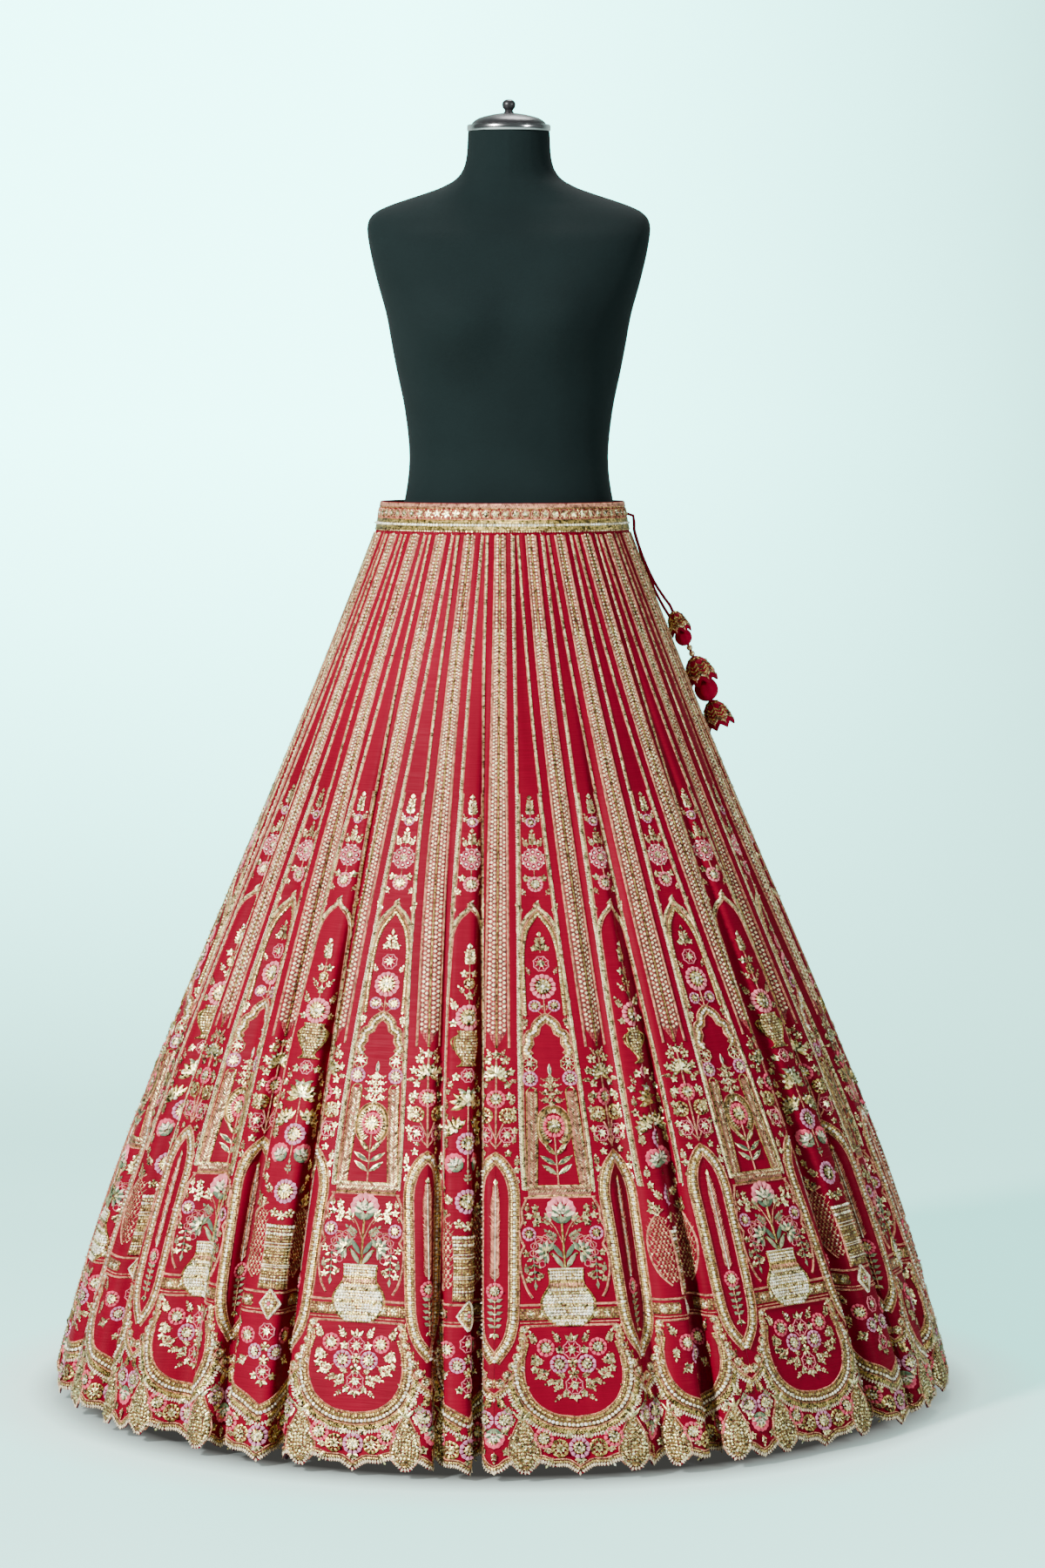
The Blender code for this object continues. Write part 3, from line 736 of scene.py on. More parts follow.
class Drawing:
    """Embroidery laid out flat, in millimetres: across, up, and off the cloth."""

    def __init__(self):
        self.points, self.faces, self.marks, self.count = [], [], [], 0

    def keep(self, points, faces, marks):
        self.points.append(points)
        self.faces.append(faces + self.count)
        self.marks.append(marks)
        self.count += len(points)

    def add(self, points, faces, tint, shade=1, weave=0):
        """Adds points with their marks: tint, shade, and a place in a stitch pattern."""
        marks = np.zeros((len(points), 5))
        marks[:, 0], marks[:, 1], marks[:, 2:] = TINT_NAMES.index(tint), shade, weave
        self.keep(points, faces, marks)

    def gathered(self):
        return (np.concatenate(part) for part in (self.points, self.faces, self.marks))

    def face_count(self):
        return sum(len(part) for part in self.faces)

    def take(self, other, at=(0, 0), turn=0, flip=False):
        """Copies another drawing in, turned anticlockwise and perhaps mirrored."""
        points, faces, marks = other.gathered()
        points = points * (-1 if flip else 1, 1, 1)
        cosine, sine = cos(radians(turn)), sin(radians(turn))
        x = at[0] + points[:, 0] * cosine - points[:, 1] * sine
        y = at[1] + points[:, 0] * sine + points[:, 1] * cosine
        laid = np.stack([x, y, points[:, 2]], axis=1)
        self.keep(laid, faces[:, ::-1] if flip else faces, marks)

    def pair(self, other, at, turn=0):
        """A copy on the right and its mirror on the left."""
        self.take(other, at, turn)
        self.take(other, (-at[0], at[1]), -turn, flip=True)

    def lay(self, *rows):
        """Motifs from rows of across, up, turn, the motif and its sizes. Each is a mirrored
        pair, unless it stands on the middle line."""
        for across, up, turn, motif, *sizes in rows:
            if across:
                self.pair(motif(*sizes), (across, up), turn)
            else:
                self.take(motif(*sizes), (0, up), turn)

    def stamp(self, shape, at, tint, size, turn=0, wide=None, stand=0):
        """Copies of a small shape, each a little tilted, and lighter or darker."""
        base, faces = SHAPES[shape]
        at = np.atleast_2d(np.asarray(at, float))
        count = len(at)
        turn = np.radians(np.broadcast_to(turn, count))[:, None]
        size = np.broadcast_to(size, count)[:, None]
        wide = size if wide is None else np.broadcast_to(wide, count)[:, None]
        x, y = base[:, 0] * wide, base[:, 1] * size
        lean = chance.normal(0, TILT, (2, count, 1))
        crest = base[:, 2] * wide * (1 + lean[0] * np.sign(base[:, 2]))
        points = np.stack(
            [
                at[:, :1] + x * np.cos(turn) - y * np.sin(turn) + crest * lean[1],
                at[:, 1:] + x * np.sin(turn) + y * np.cos(turn),
                stand + crest,
            ],
            axis=2,
        )
        steps = np.arange(count)[:, None, None] * len(base)
        uneven = 0.16 + 0.55 * TINTS[tint][3]
        shade = np.repeat(chance.uniform(1 - uneven, 1 + uneven, count), len(base))
        self.add(points.reshape(-1, 3), (faces + steps).reshape(-1, 3), tint, shade)

    def ring(self, shape, centre, radius, count, tint, size, wide=None, sweep=360, first=0,
             stand=0):
        """Copies round a centre, or in a fan, pointing outwards."""
        turns = turned_about(count, sweep, first)
        self.stamp(shape, polar(centre, radius, turns), tint, size, turns, wide, stand)

    def row(self, path, gap, tint, size, shape="seed", lean=0, wide=None, stand=0):
        """Copies along a path. Lean turns them from the path's left."""
        places = spread(path, gap)
        left = normals_of(places)
        turns = np.degrees(np.arctan2(-left[:, 0], left[:, 1])) + lean
        self.stamp(shape, places, tint, size, turns, wide, stand)

    def sweep(self, path, section, tint, closed=False, stitch="slanted", pitch=2):
        """A strip along a path. The section gives places to its left and their heights."""
        left = normals_of(path, closed)
        offsets, tall = (np.array(part) for part in zip(*section))
        flat = path[:, None, :] + left[:, None, :] * offsets[None, :, None]
        high = np.broadcast_to(tall, flat.shape[:2])[:, :, None]
        points = np.concatenate([flat, high], axis=2).reshape(-1, 3)
        rows, columns = len(path), len(section)
        weave = np.zeros((rows, columns, 3))
        weave[:, :, 0] = run_along(path)[:, None] / pitch
        weave[:, :, 1] = offsets / pitch
        weave[:, :, 2] = STITCHES.index(stitch)
        faces = grid_faces(rows, columns, closed)
        self.add(points, faces, tint, 1, weave.reshape(-1, 3))

    def line(self, path, wide, tint, tall=None, closed=False):
        """A raised cord of thread."""
        tall = 0.55 * wide if tall is None else tall
        self.sweep(path, ((-0.5 * wide, SUNK), (0, tall), (0.5 * wide, SUNK)), tint, closed)

    def lines(self, path, wide, tint, tall=None):
        """A raised cord on the right and its mirror on the left."""
        for side in SIDES:
            self.line(path * (side, 1), wide, tint, tall)

    def rails(self, path, apart, wide, tint, tall=None):
        """Two raised cords, one on each side of a path."""
        for side in SIDES:
            self.line(beside(path, side * apart), wide, tint, tall)

    def strip(self, path, wide, tint, tall=0.5, stitch="beads", pitch=2.9):
        """A filled strip with a flat top."""
        inner = np.linspace(-0.5 * wide, 0.5 * wide, max(2, ceil(wide / STRIP_STEP) + 1))
        section = [(inner[0], SUNK), *((x, tall) for x in inner), (inner[-1], SUNK)]
        self.sweep(path, section, tint, False, stitch, pitch)

    def loop(self, centre, radius, wide, tint, count=12, waves=0, wavy=0):
        """A ring of thread, round or scalloped."""
        turns = turned_about(count)
        swell = 1 + wavy * np.abs(np.sin(np.radians(turns) * 0.5 * waves))
        self.line(polar(centre, radius * swell, -turns), wide, tint, closed=True)

    def patch(self, profile, tint, tall=0.6, domed=True, stitch="beads", pitch=2.9):
        """A filled patch, even about the middle line, from heights and half widths."""
        profile = np.array(profile, float)
        columns = max(3, ceil(2 * profile[:, 1].max() / STRIP_STEP) + 1)
        over = np.linspace(-1, 1, columns)
        x = profile[:, 1:] * over
        z = tall * (np.sqrt(1 - over**2 * 0.999) if domed else np.abs(over) < 0.99)
        z = z + SUNK * (np.abs(over) > 0.99)
        y = np.broadcast_to(profile[:, :1], x.shape)
        points = np.stack([x, y, np.broadcast_to(z, x.shape)], axis=2).reshape(-1, 3)
        faces = grid_faces(len(profile), columns)
        if profile[0, 0] > profile[-1, 0]:
            faces = faces[:, ::-1]
        weave = np.stack([y / pitch, x / pitch, 0 * x + STITCHES.index(stitch)], axis=2)
        self.add(points, faces, tint, 1, weave.reshape(-1, 3))


print("drawn as:", ", ".join(STITCHES), "stitches and", len(SHAPES), "small shapes")

# %% [markdown]
# ## Round flowers
# Mughal embroidery builds its gardens from a few kinds of flower. Most are rings of petals,
# leaves and beads about one middle, so each is written as a short table of its rings: a
# disc flower with a silk ring, a round gold flower, a five-petalled bloom, a half flower
# seen from the side and a fan of leaves. Two more have open scallops of thread.

# %% Round flowers
ROUND = 360
BEADED_FROM = 8.5  # a disc flower of this radius has a ring of beads too
FULL_PETALS_FROM = 5.3  # a smaller bloom has flat leaves for petals


def rayed(radius, *rows):
    """A motif of rings. Each row gives the shape, the tint, how many there are, the ring's
    middle and radius, their length and width, the sweep of the fan that they make and how
    far they stand off the cloth. Sizes are shares of the motif's radius."""
    made = Drawing()
    for shape, tint, count, middle, out, long, wide, sweep, stand in rows:
        made.ring(shape, (0, middle * radius), out * radius, count, tint, long * radius,
                  wide * radius, sweep, stand=stand)
    return made


def disc_flower(radius, silk_tint, petals=12):
    """A round flower: a ring of silk petals about gold stamens and a pearl."""
    beads = ("seed", "white", 9, 0, 0.42, 0.24, 0.24, ROUND, 0.9)
    return rayed(
        radius,
        ("petal", silk_tint, petals, 0, 0.56, 0.48, 5.8 / petals, ROUND, 0),
        ("leaf", "gold", petals, 0, 0.22, 0.5, 0.3, ROUND, 0.6),
        ("leaf", "pale", 7, 0, 0.1, 0.34, 0.28, ROUND, 0.9),
        *([beads] if radius > BEADED_FROM else []),
        ("pearl", "white", 1, 0, 0, 0.32, 0.32, ROUND, 1),
    )


def gold_round(radius):
    return rayed(
        radius,
        ("petal", "gold", 11, 0, 0.52, 0.48, 0.52, ROUND, 0),
        ("leaf", "pale", 8, 0, 0.12, 0.48, 0.3, ROUND, 0.5),
        ("pearl", "gold", 1, 0, 0, 0.3, 0.3, ROUND, 0.8),
    )


def bloom(radius):
    """A small five-petalled flower with a bead."""
    shape = "petal" if radius > FULL_PETALS_FROM else "leaf"
    return rayed(
        radius,
        (shape, "pale", 5, 0, 0.1, 0.95, 0.72, ROUND, 0),
        ("pearl", "gold", 1, 0, 0, 0.52, 0.52, ROUND, 0.5),
    )


def half_flower(radius, silk_tint="blush"):
    """A flower from the side: a silk fan behind a cream one, held by two green sepals."""
    return rayed(
        radius,
        ("petal", silk_tint, 9, 0, 0.44, 0.58, 0.48, 216, 0),
        ("blade", "cream", 5, -0.35, 0.16, 0.82, 0.46, 150, 0.5),
        ("leaf", "green", 4, -0.35, 0.2, 0.62, 0.2, 112, 1.6),
        ("seed", "white", 5, 0, 0.16, 0.22, 0.22, ROUND, 1.8),
        ("blade", "green", 2, -0.85, 0, 0.95, 0.4, 104, 0.6),
        ("leaf", "sage", 3, -0.85, 0, 0.62, 0.3, 56, 1),
    )


def fan(radius, leaves=9, sweep=220):
    """A full palmette of leaves from one root, with beads at their tips."""
    return rayed(
        radius,
        ("blade", "gold", leaves, 0, 0.1, 0.92, 0.42, sweep, 0),
        ("leaf", "pale", leaves - 2, 0, 0.05, 0.66, 0.3, 0.85 * sweep, 0.9),
        ("seed", "white", leaves, 0, 0.72, 0.18, 0.18, sweep, 0.9),
        ("pearl", "white", 1, 0, 0, 0.28, 0.28, ROUND, 0.9),
    )


def cut_flower(radius):
    """A lower flower that leans out: green and cream petals and open scallops beyond them."""
    made = rayed(
        radius,
        ("blade", "cream", 6, 0, 0.08, 0.74, 0.36, 240, 0),
        ("leaf", "green", 5, 0, 0.14, 0.56, 0.24, 192, 1.3),
        ("leaf", "pale", 5, 0, 0, 0.4, 0.26, 180, 1.6),
        ("blade", "sage", 2, -0.15, 0, 0.9, 0.36, 190, 0.6),
    )
    for place in polar((0, 0), 0.92 * radius, turned_about(7, 190)):
        made.loop(place, 0.23 * radius, 1.1, "blush", count=6)
    return made


def rosette(radius):
    """Eight open loops of thread with pearls between them, about a pearl centre."""
    made = Drawing()
    for place in polar((0, 0), 0.64 * radius, turned_about(8)):
        made.loop(place, 0.29 * radius, 1.8, "blush", count=7)
    made.ring("seed", (0, 0), 0.93 * radius, 8, "white", 0.22 * radius, first=22.5)
    made.ring("pearl", (0, 0), 0.64 * radius, 8, "white", 0.2 * radius)
    made.ring("seed", (0, 0), 0.26 * radius, 7, "pale", 0.22 * radius)
    made.stamp("pearl", (0, 0), "white", 0.3 * radius)
    return made


def wheel(radius, tint="blush"):
    """A flower of open scallops, the cloth showing between its spokes."""
    made = Drawing()
    made.loop((0, 0), 0.84 * radius, 1.3, tint, count=16, waves=8, wavy=0.16)
    made.ring("spine", (0, 0), 0.36 * radius, 8, tint, 0.52 * radius, wide=1.1, first=22.5)
    made.ring("leaf", (0, 0), 0.08 * radius, 7, "pale", 0.42 * radius, wide=0.34 * radius)
    made.stamp("pearl", (0, 0), "white", 0.3 * radius, stand=0.4)
    return made


print("round flowers are rings of", ", ".join(SHAPES))

# %% [markdown]
# ## Leaves and sprays
# What is left between the flowers is filled with stems: sprigs of leaves in pairs, sprays
# that end in blooms, hanging pendants, and the cypress, which is a feather of slanting
# stitches in one place and a plume of small blooms in another.

# %% Leaves and sprays
def stem(length, bend=0):
    """The path of a stem that leans over as it grows."""
    t = np.linspace(0, 1, 4)
    return np.stack([bend * t * t, length * t], axis=1)


def sprig(length, pairs=3, tint="pale", leaf=0.42):
    """A stem with pairs of leaves and one at its tip, growing up from its root."""
    made = Drawing()
    made.line(stem(length), 1.1, "rose", tall=0.4)
    at = (np.arange(pairs) + 0.7) / (pairs + 0.7)
    roots = np.stack([0 * at, length * at], axis=1)
    size = leaf * length * (1.15 - 0.35 * at)
    for side in SIDES:
        made.stamp("leaf", roots, tint, size, -side * 52, 0.62 * size)
        made.stamp("leaf", roots, "old", 0.6 * size, -side * 52, 0.16 * size, 0.9)
    made.stamp("leaf", (0, length), tint, leaf * length, 0, 0.28 * length)
    return made


def spray(length, bend=0):
    """A stem that ends in a bloom, with two more and a few leaves beside it."""
    made = Drawing()
    made.line(stem(length, bend), 1.2, "rose", tall=0.4)
    made.take(bloom(0.25 * length), (bend, length))
    made.take(bloom(0.22 * length), (bend * 0.5 + 0.27 * length, 0.74 * length))
    made.take(bloom(0.22 * length), (bend * 0.4 - 0.25 * length, 0.66 * length))
    made.stamp("leaf", (bend * 0.2, 0.45 * length), "sage", 0.38 * length, 58, 0.2 * length)
    made.stamp("leaf", (bend * 0.1, 0.38 * length), "pale", 0.36 * length, -58, 0.2 * length)
    made.stamp("leaf", (bend, 1.14 * length), "pale", 0.3 * length, 0, 0.18 * length)
    made.stamp("leaf", [(0, 0.3 * length), (0, 0.22 * length)], "pale", 0.32 * length,
               (50, -50), 0.17 * length)
    return made


def pendant(length):
    """A hanging spray of small leaves, drawn downwards."""
    made = Drawing()
    made.line(upright(0, -length, 9), 1, "rose", tall=0.4)
    for share, size in ((0.16, 0.2), (0.38, 0.22), (0.6, 0.2), (0.8, 0.16)):
        for side in SIDES:
            made.stamp("leaf", (side * 0.04 * length, -share * length), "pale",
                       size * length, side * -118, 0.6 * size * length)
        made.stamp("seed", (0, -share * length), "green", 0.12 * length, stand=0.6)
    made.stamp("leaf", (0, -0.92 * length), "sage", 0.28 * length, 180, 0.12 * length)
    return made


def feather(low, high, half):
    """A cypress: a pale stem with slanting stitches on both sides."""
    made = Drawing()
    made.line(upright(low, high, 12), 1.5, "white", tall=1)
    at = np.arange(low + 1.5, high - 2, 2.5)
    size = half * np.minimum(1, 0.45 + 0.55 * (high - at) / (4 * half)) * 1.15
    for side in SIDES:
        roots = np.stack([np.full(len(at), 0.3 * side), at], axis=1)
        made.stamp("spine", roots, "rose", size, -side * 40, 1.8)
    made.stamp("leaf", (0, high - 2), "pale", 1.3 * half, 0, 0.7 * half)
    return made


def cypress():
    """A plume of small blooms under a pointed green bud, from its foot up."""
    made = Drawing()
    made.line(upright(0, 38, 9), 1.2, "rose")
    for up, radius in ((4, 4.4), (13, 4.2), (21.5, 3.8), (29, 3.2), (35, 2.6)):
        made.take(bloom(radius), (0, up), 20 * up)
    for across, up, radius in ((6.8, 8, 4.3), (6, 17, 3.8), (4.6, 25, 3.2), (3.2, 32, 2.5)):
        made.pair(bloom(radius), (across, up))
        made.pair(sprig(5, 1), (across + 1.5, up - 2), -62)
    made.stamp("blade", (0, 36), "cream", 14, 0, 5.6)
    made.stamp("blade", (0, 37), "green", 11.5, 0, 3.4, 1)
    return made


print("a disc flower has", disc_flower(14, "blush").face_count(), "faces")

# %% [markdown]
# ## Borders
# A border is several rows side by side: couched cords, filled strips, pearls, and a spiky
# outer edge of beads. Each kind takes a path and a side and lays its rows beside it, so a
# change to one is a change to every border of that kind.

# %% Borders
def spiky(made, edge, side, wide=3.4):
    """A couched strip with a spiky outer side, the points' tips along the edge."""
    rail = beside(edge, -side * 0.9 * wide)
    made.row(rail, 3.3, "cream", 1.2 * wide, "leaf", lean=-70 * side, wide=0.52 * wide)
    made.strip(beside(edge, -side * 1.45 * wide), 1.05 * wide, "pale", stitch="slanted",
               pitch=2.6)
    made.line(beside(edge, -side * 2.3 * wide), 1.5, "rose")


def hatched(made, path, wide):
    """A strip of slanting stitches between two cords."""
    made.strip(path, wide, "brown", tall=0.35, stitch="slanted", pitch=3)
    for side in SIDES:
        made.row(beside(path, side * 0.2 * wide), 3.1, "pale", 0.46 * wide, "spine",
                 lean=side * 48, wide=1.5, stand=0.2)
    made.rails(path, 0.5 * wide, 1.7, "gold", tall=1)


def chain(made, path, radii):
    """Linked circles, each with a bead cluster; radii are those at the path's two ends."""
    run = run_along(path)
    at, places = radii[0], []
    while at < run[-1] - 0.5 * radii[1]:
        share = at / run[-1]
        radius = radii[0] + (radii[1] - radii[0]) * share
        places.append((np.interp(at, run, path[:, 0]), np.interp(at, run, path[:, 1]), radius))
        at += 2.12 * radius
    for x, y, radius in places:
        made.loop((x, y), 0.9 * radius, 1.3, "rose", count=8)
        made.ring("petal", (x, y), 0.12 * radius, 5, "pale", 0.68 * radius, wide=0.72 * radius)
        made.stamp("pearl", (x, y), "white", 0.5 * radius, stand=0.5)
        made.stamp("leaf", [(x + 1.06 * radius, y + 0.5), (x + 1.06 * radius, y - 0.5)], "gold",
                   0.8 * radius, (0, 180), 0.4 * radius)


def tapering(table, out=0, step=LINE_STEP):
    """A path up a table of heights and half widths, or a little outside it."""
    return curve([(half + out, up) for up, half in table], step)


def below(path, up):
    return path[path[:, 1] < up]


SEED_GAP = 3.4  # between the beads on a vessel


def across_at(table, up, inset, gap, least=2):
    """Where beads stand in a row across a patch: shares from -1 to 1, and the half width."""
    half = look_up(table, up) - inset
    count = max(least, round(2 * half / gap))
    return (np.arange(count) + 0.5) / count * 2 - 1, half


def seeded(made, table, heights, inset, tints, size, stand):
    """Level rows of beads over a patch, each as long as the patch is wide there."""
    for row, up in enumerate(heights):
        over, half = across_at(table, up, inset, SEED_GAP)
        places = np.stack([over * half, np.full(len(over), up)], axis=1)
        made.stamp("seed", places, tints[row % len(tints)], size, stand=stand)


print("borders: spiky edge, hatched strip and chain; beads", SEED_GAP, "mm apart on vessels")

# %% [markdown]
# ## What every kali shares
# A kali is worked in three storeys. A tall narrow border runs down from the waist, opens
# round an arch and ends above the vase; the vase stands on a chain of circles; and under
# the chain hangs a rounded panel of flowers with the lobed hem below it. The two kinds of
# kali differ in what stands inside.

# %% Shared parts of a kali
WAIST_UP = 1000 * KALI_LONG - 3
HEM_WIDE = 1000 * float(grid_widths[-1])
SIDE_BORDER = (  # height and half width of the tall border's spiky edge
    (299, 43), (330, 42.6), (400, 39.4), (500, 33.2), (583, 27.4), (700, 20), (850, 12.6),
    (WAIST_UP, 6.2),
)
BORDER_WIDTHS = ((0, 600, 3.4), (600, 760, 2.7), (760, 2000, 1.9))
HEM_STEP = 2.4  # between the points of the rows that follow the lobes
ARCH_TOP = (  # the arch's beaded edge from the border to its point
    (27.4, 588), (24, 604), (16.5, 618), (7.5, 627), (0, 637),
)
U_PANEL = (  # the lower panel's edge, from its top corner round to the middle
    (51, 142), (51.3, 126), (53.2, 110), (54.5, 95), (51.5, 79), (42.5, 64), (24, 52), (0, 48),
)
V_PANEL = (
    (51, 142), (51.3, 126), (52.6, 110), (52.5, 95), (48, 80), (37, 66.5), (18, 57.5), (0, 47),
)
CHAIN_UP, CHAIN_TALL = 161, 17
FAN_SHAPE = (  # height and half width of the fans over the hem
    (-6, 10), (0, 15), (8, 17), (18, 16), (28, 12.5), (38, 7.6), (48, 2),
)


def tall_border(made):
    edge = tapering(SIDE_BORDER, step=7.5)
    for low, high, wide in BORDER_WIDTHS:
        part = edge[(edge[:, 1] > low - 4) & (edge[:, 1] < high + 4)]
        for side in SIDES:
            spiky(made, part * (side, 1), -side, wide)
    spiky(made, both(curve(ARCH_TOP)), -1)


def above_arch(made):
    """A silk flower over the arch's point, an open rosette and a tall sprig."""
    made.line(upright(663, 671), 1.2, "rose")
    made.lay(
        (0, 654, 0, disc_flower, 9, "blush"), (10, 661, 0, bloom, 4.4),
        (11.5, 641, -38, sprig, 9, 2), (17.5, 620, -30, sprig, 9, 3), (0, 684, 0, rosette, 13.5),
        (6, 698, -20, sprig, 9, 3), (0, 699, 0, sprig, 16, 4, "pale", 0.34),
        (0, 728, 0, disc_flower, 5.6, "mauve", 9), (6, 727, -18, sprig, 8, 2),
        (0, 735, 0, sprig, 20, 5, "pale", 0.3),
    )


def chain_and_panel(made, outline):
    """The circle chain across the kali, and the panel hung under it."""
    low, high = CHAIN_UP - 0.5 * CHAIN_TALL, CHAIN_UP + 0.5 * CHAIN_TALL
    for side in SIDES:
        ends = ((side * 24, CHAIN_UP), (side * 57, CHAIN_UP))
        made.strip(straight(ends, 8), 12.6, "old", tall=0.2, pitch=2.7)
        chain(made, straight(ends), (5.9, 5.9))
    for up, far, wide in ((high + 1.8, 58, 2.8), (low - 0.6, 55, 1.5), (low - 4.4, 52, 2.6)):
        made.lines(straight([(2.5, up), (far, up)], 6), wide, "rose")
    edge = both(curve(outline))
    made.line(beside(edge, 0.4), 1.8, "rose")
    made.strip(beside(edge, 3.9), 5.2, "gold")
    pearls = below(beside(edge, 9.7), 113)
    made.strip(pearls, 6.4, "old", tall=0.25)
    made.row(pearls, 4.6, "white", 3.9, "pearl", stand=0.3)
    made.line(below(beside(edge, 13.6), 97), 1.6, "rose")
    made.strip(below(beside(edge, 16.9), 90), 5.4, "gold", tall=0.6, stitch="slanted")
    made.row(below(beside(edge, 19.6), 88), 3.1, "cream", 5, "leaf", lean=-6, wide=2.8)


def hem_path():
    """The lower edge of the cloth across one kali."""
    across = np.linspace(-0.5, 0.5, ceil(HEM_WIDE / HEM_STEP) + 1)
    return np.stack([across * HEM_WIDE, -hem_drop(across + 0.5) / MM], axis=1)


def filled_fan():
    """A broad petal shape filled with beads, with leaves that cross above it."""
    made = Drawing()
    made.patch(FAN_SHAPE, "old", tall=0.7)
    for up in np.arange(-4, 47, 3.9):
        over, half = across_at(FAN_SHAPE, up, 0.8, 3.9, 1)
        places = np.stack([over * half, up + 4 * (1 - over**2) - 2], axis=1)
        places += chance.normal(0, 0.35, places.shape)
        made.stamp("seed", places, "pale", 3.8, stand=0.7)
    made.lines(tapering(FAN_SHAPE, 0.6), 1.7, "rose", tall=1.3)
    made.ring("blade", (0, 45), 0, 3, "pale", 14, wide=5, sweep=84, stand=0.6)
    return made


def hem_edge(made):
    """A spiky edge that follows the lobes, with two bead-filled fans above it."""
    path = hem_path()
    made.row(beside(path, 4.4), 3, "cream", 5.2, "leaf", lean=180, wide=2.9, stand=0.2)
    made.strip(beside(path, 5.4), 3.2, "gold", pitch=2.3)
    made.line(beside(path, 8.4), 1.5, "rose")
    for side in SIDES:
        made.take(filled_fan(), (side * (0.5 * HEM_WIDE - 34.5), 0), flip=side < 0)


def hem_flowers(made, lift):
    """Silk and gold flowers between the panel and the hem."""
    made.take(disc_flower(11.6, "mauve", 11), (0, 14 + lift))
    made.ring("leaf", (0, 2.5 + lift), 0.5, 5, "pale", 7, wide=3.8, sweep=150, first=180)
    made.lay(
        (21.5, 14 + lift, 0, gold_round, 10.4), (39, 25.5 + lift, 0, disc_flower, 11, "pink", 11),
        (30, 4 + lift, -140, sprig, 10, 3), (50, 40, -12, sprig, 11, 3),
        (29.5, 33 + lift, 0, bloom, 5.4), (11.5, 28 + lift, 0, bloom, 5),
        (31, 10 + lift, -60, sprig, 9, 3), (82, 58, -10, sprig, 13, 4, "gold"),
        (72, 50, -30, sprig, 11, 3, "sage"), (76, 40, -20, sprig, 12, 4), (81, 34, 0, bloom, 5),
    )


def worked(steps):
    """A drawing made by one step after another."""
    made = Drawing()
    for step in steps:
        step(made)
    return made


def work_kali(steps, outline, lift):
    """A kali's whole drawing: its own steps among those that every kali shares."""
    made = worked((tall_border, above_arch, *steps, hem_edge))
    chain_and_panel(made, outline)
    hem_flowers(made, lift)
    return made


print("a kali's shared parts run from the hem to", round(WAIST_UP), "mm up")

# %% [markdown]
# ## The kali with a vase
# Inside the tall border stand a beaded arch with a flower tree, a cusped arch on two
# pillars with an oval medallion under it, and then a vase of flowers in an ogee frame.

# %% First kind of kali
VASE = (  # height and half width, from its foot up
    (147, 11.5), (149.5, 17), (155, 23.5), (162, 28), (170, 30), (177, 29), (184, 25),
    (190.5, 20.5), (196, 18.2), (209.5, 18.8),
)
FRAME = (  # the ogee frame, from the base of the pillars down to the chain
    (37, 290), (40, 284), (43.6, 276), (43.4, 265), (47.6, 256), (47.4, 245), (43.6, 237),
)
FRAME_LOW = ((43.6, 237), (49, 227), (49.4, 210), (45, 190), (39, 179))
CUSPS = (  # three hollows on each side of the arch, from its leg to its point
    ((20.5, 452), (25, 459), (20, 467.5)), ((20, 467.5), (20.4, 476), (12.5, 480.5)),
    ((12.5, 480.5), (10, 489), (0, 497)),
)


def flower_tree(made):
    """The beaded arch and what grows inside it."""
    arch = both(curve(((23, 500), (22.2, 530), (20.2, 573), (15, 597),
                       (7.5, 610), (0, 620.5)), 5))
    made.strip(arch, 4.6, "gold", pitch=2.4)
    made.row(beside(arch, 0.8), 3.4, "pale", 3.2, stand=0.4)
    made.line(beside(arch, -3.4), 1.5, "rose")
    made.line(upright(498, 520), 1.5, "rose")
    made.lines(curve([(0, 499), (5, 502), (9, 506)]), 1.2, "rose")
    made.lay(
        (22.5, 497, -172, sprig, 10, 3), (0, 573, 0, sprig, 18, 4, "pale", 0.4),
        (7, 578, 0, bloom, 4), (0, 560, 0, wheel, 9.5),
        (0, 533, 0, disc_flower, 14.5, "blush", 14), (11, 510.5, 0, disc_flower, 6.8, "mauve", 9),
        (2, 506, -24, sprig, 7, 1), (14, 547, -20, sprig, 7, 2),
    )


def cusped_arch(made):
    arch = both(np.concatenate([curve(part, 3.6) for part in CUSPS]))
    arch = arch[np.concatenate([[True], np.linalg.norm(np.diff(arch, axis=0), axis=1) > 0.1])]
    made.strip(arch, 8.4, "gold", pitch=2.8)
    made.row(arch, 4.2, "white", 3.8, "pearl", stand=0.4)
    made.rails(arch, 4.8, 1.8, "rose")
    leg = curve([(22, 411), (25.6, 356), (30.2, 303)], 9)
    for side in SIDES:
        hatched(made, leg * (side, 1), 11.6)
    capital = curve([(16.2, 409), (17.6, 414), (21.8, 416), (26.2, 414), (27.6, 409)], 3)
    made.lines(capital, 1.7, "gold", tall=1)
    made.lay((21.5, 443, 0, wheel, 9, "pale"), (22.5, 426, 0, disc_flower, 8.6, "mauve", 10))
    hatched(made, level(35, 298, 6), 11)
    made.line(level(40, 290.5, 6), 2, "rose")


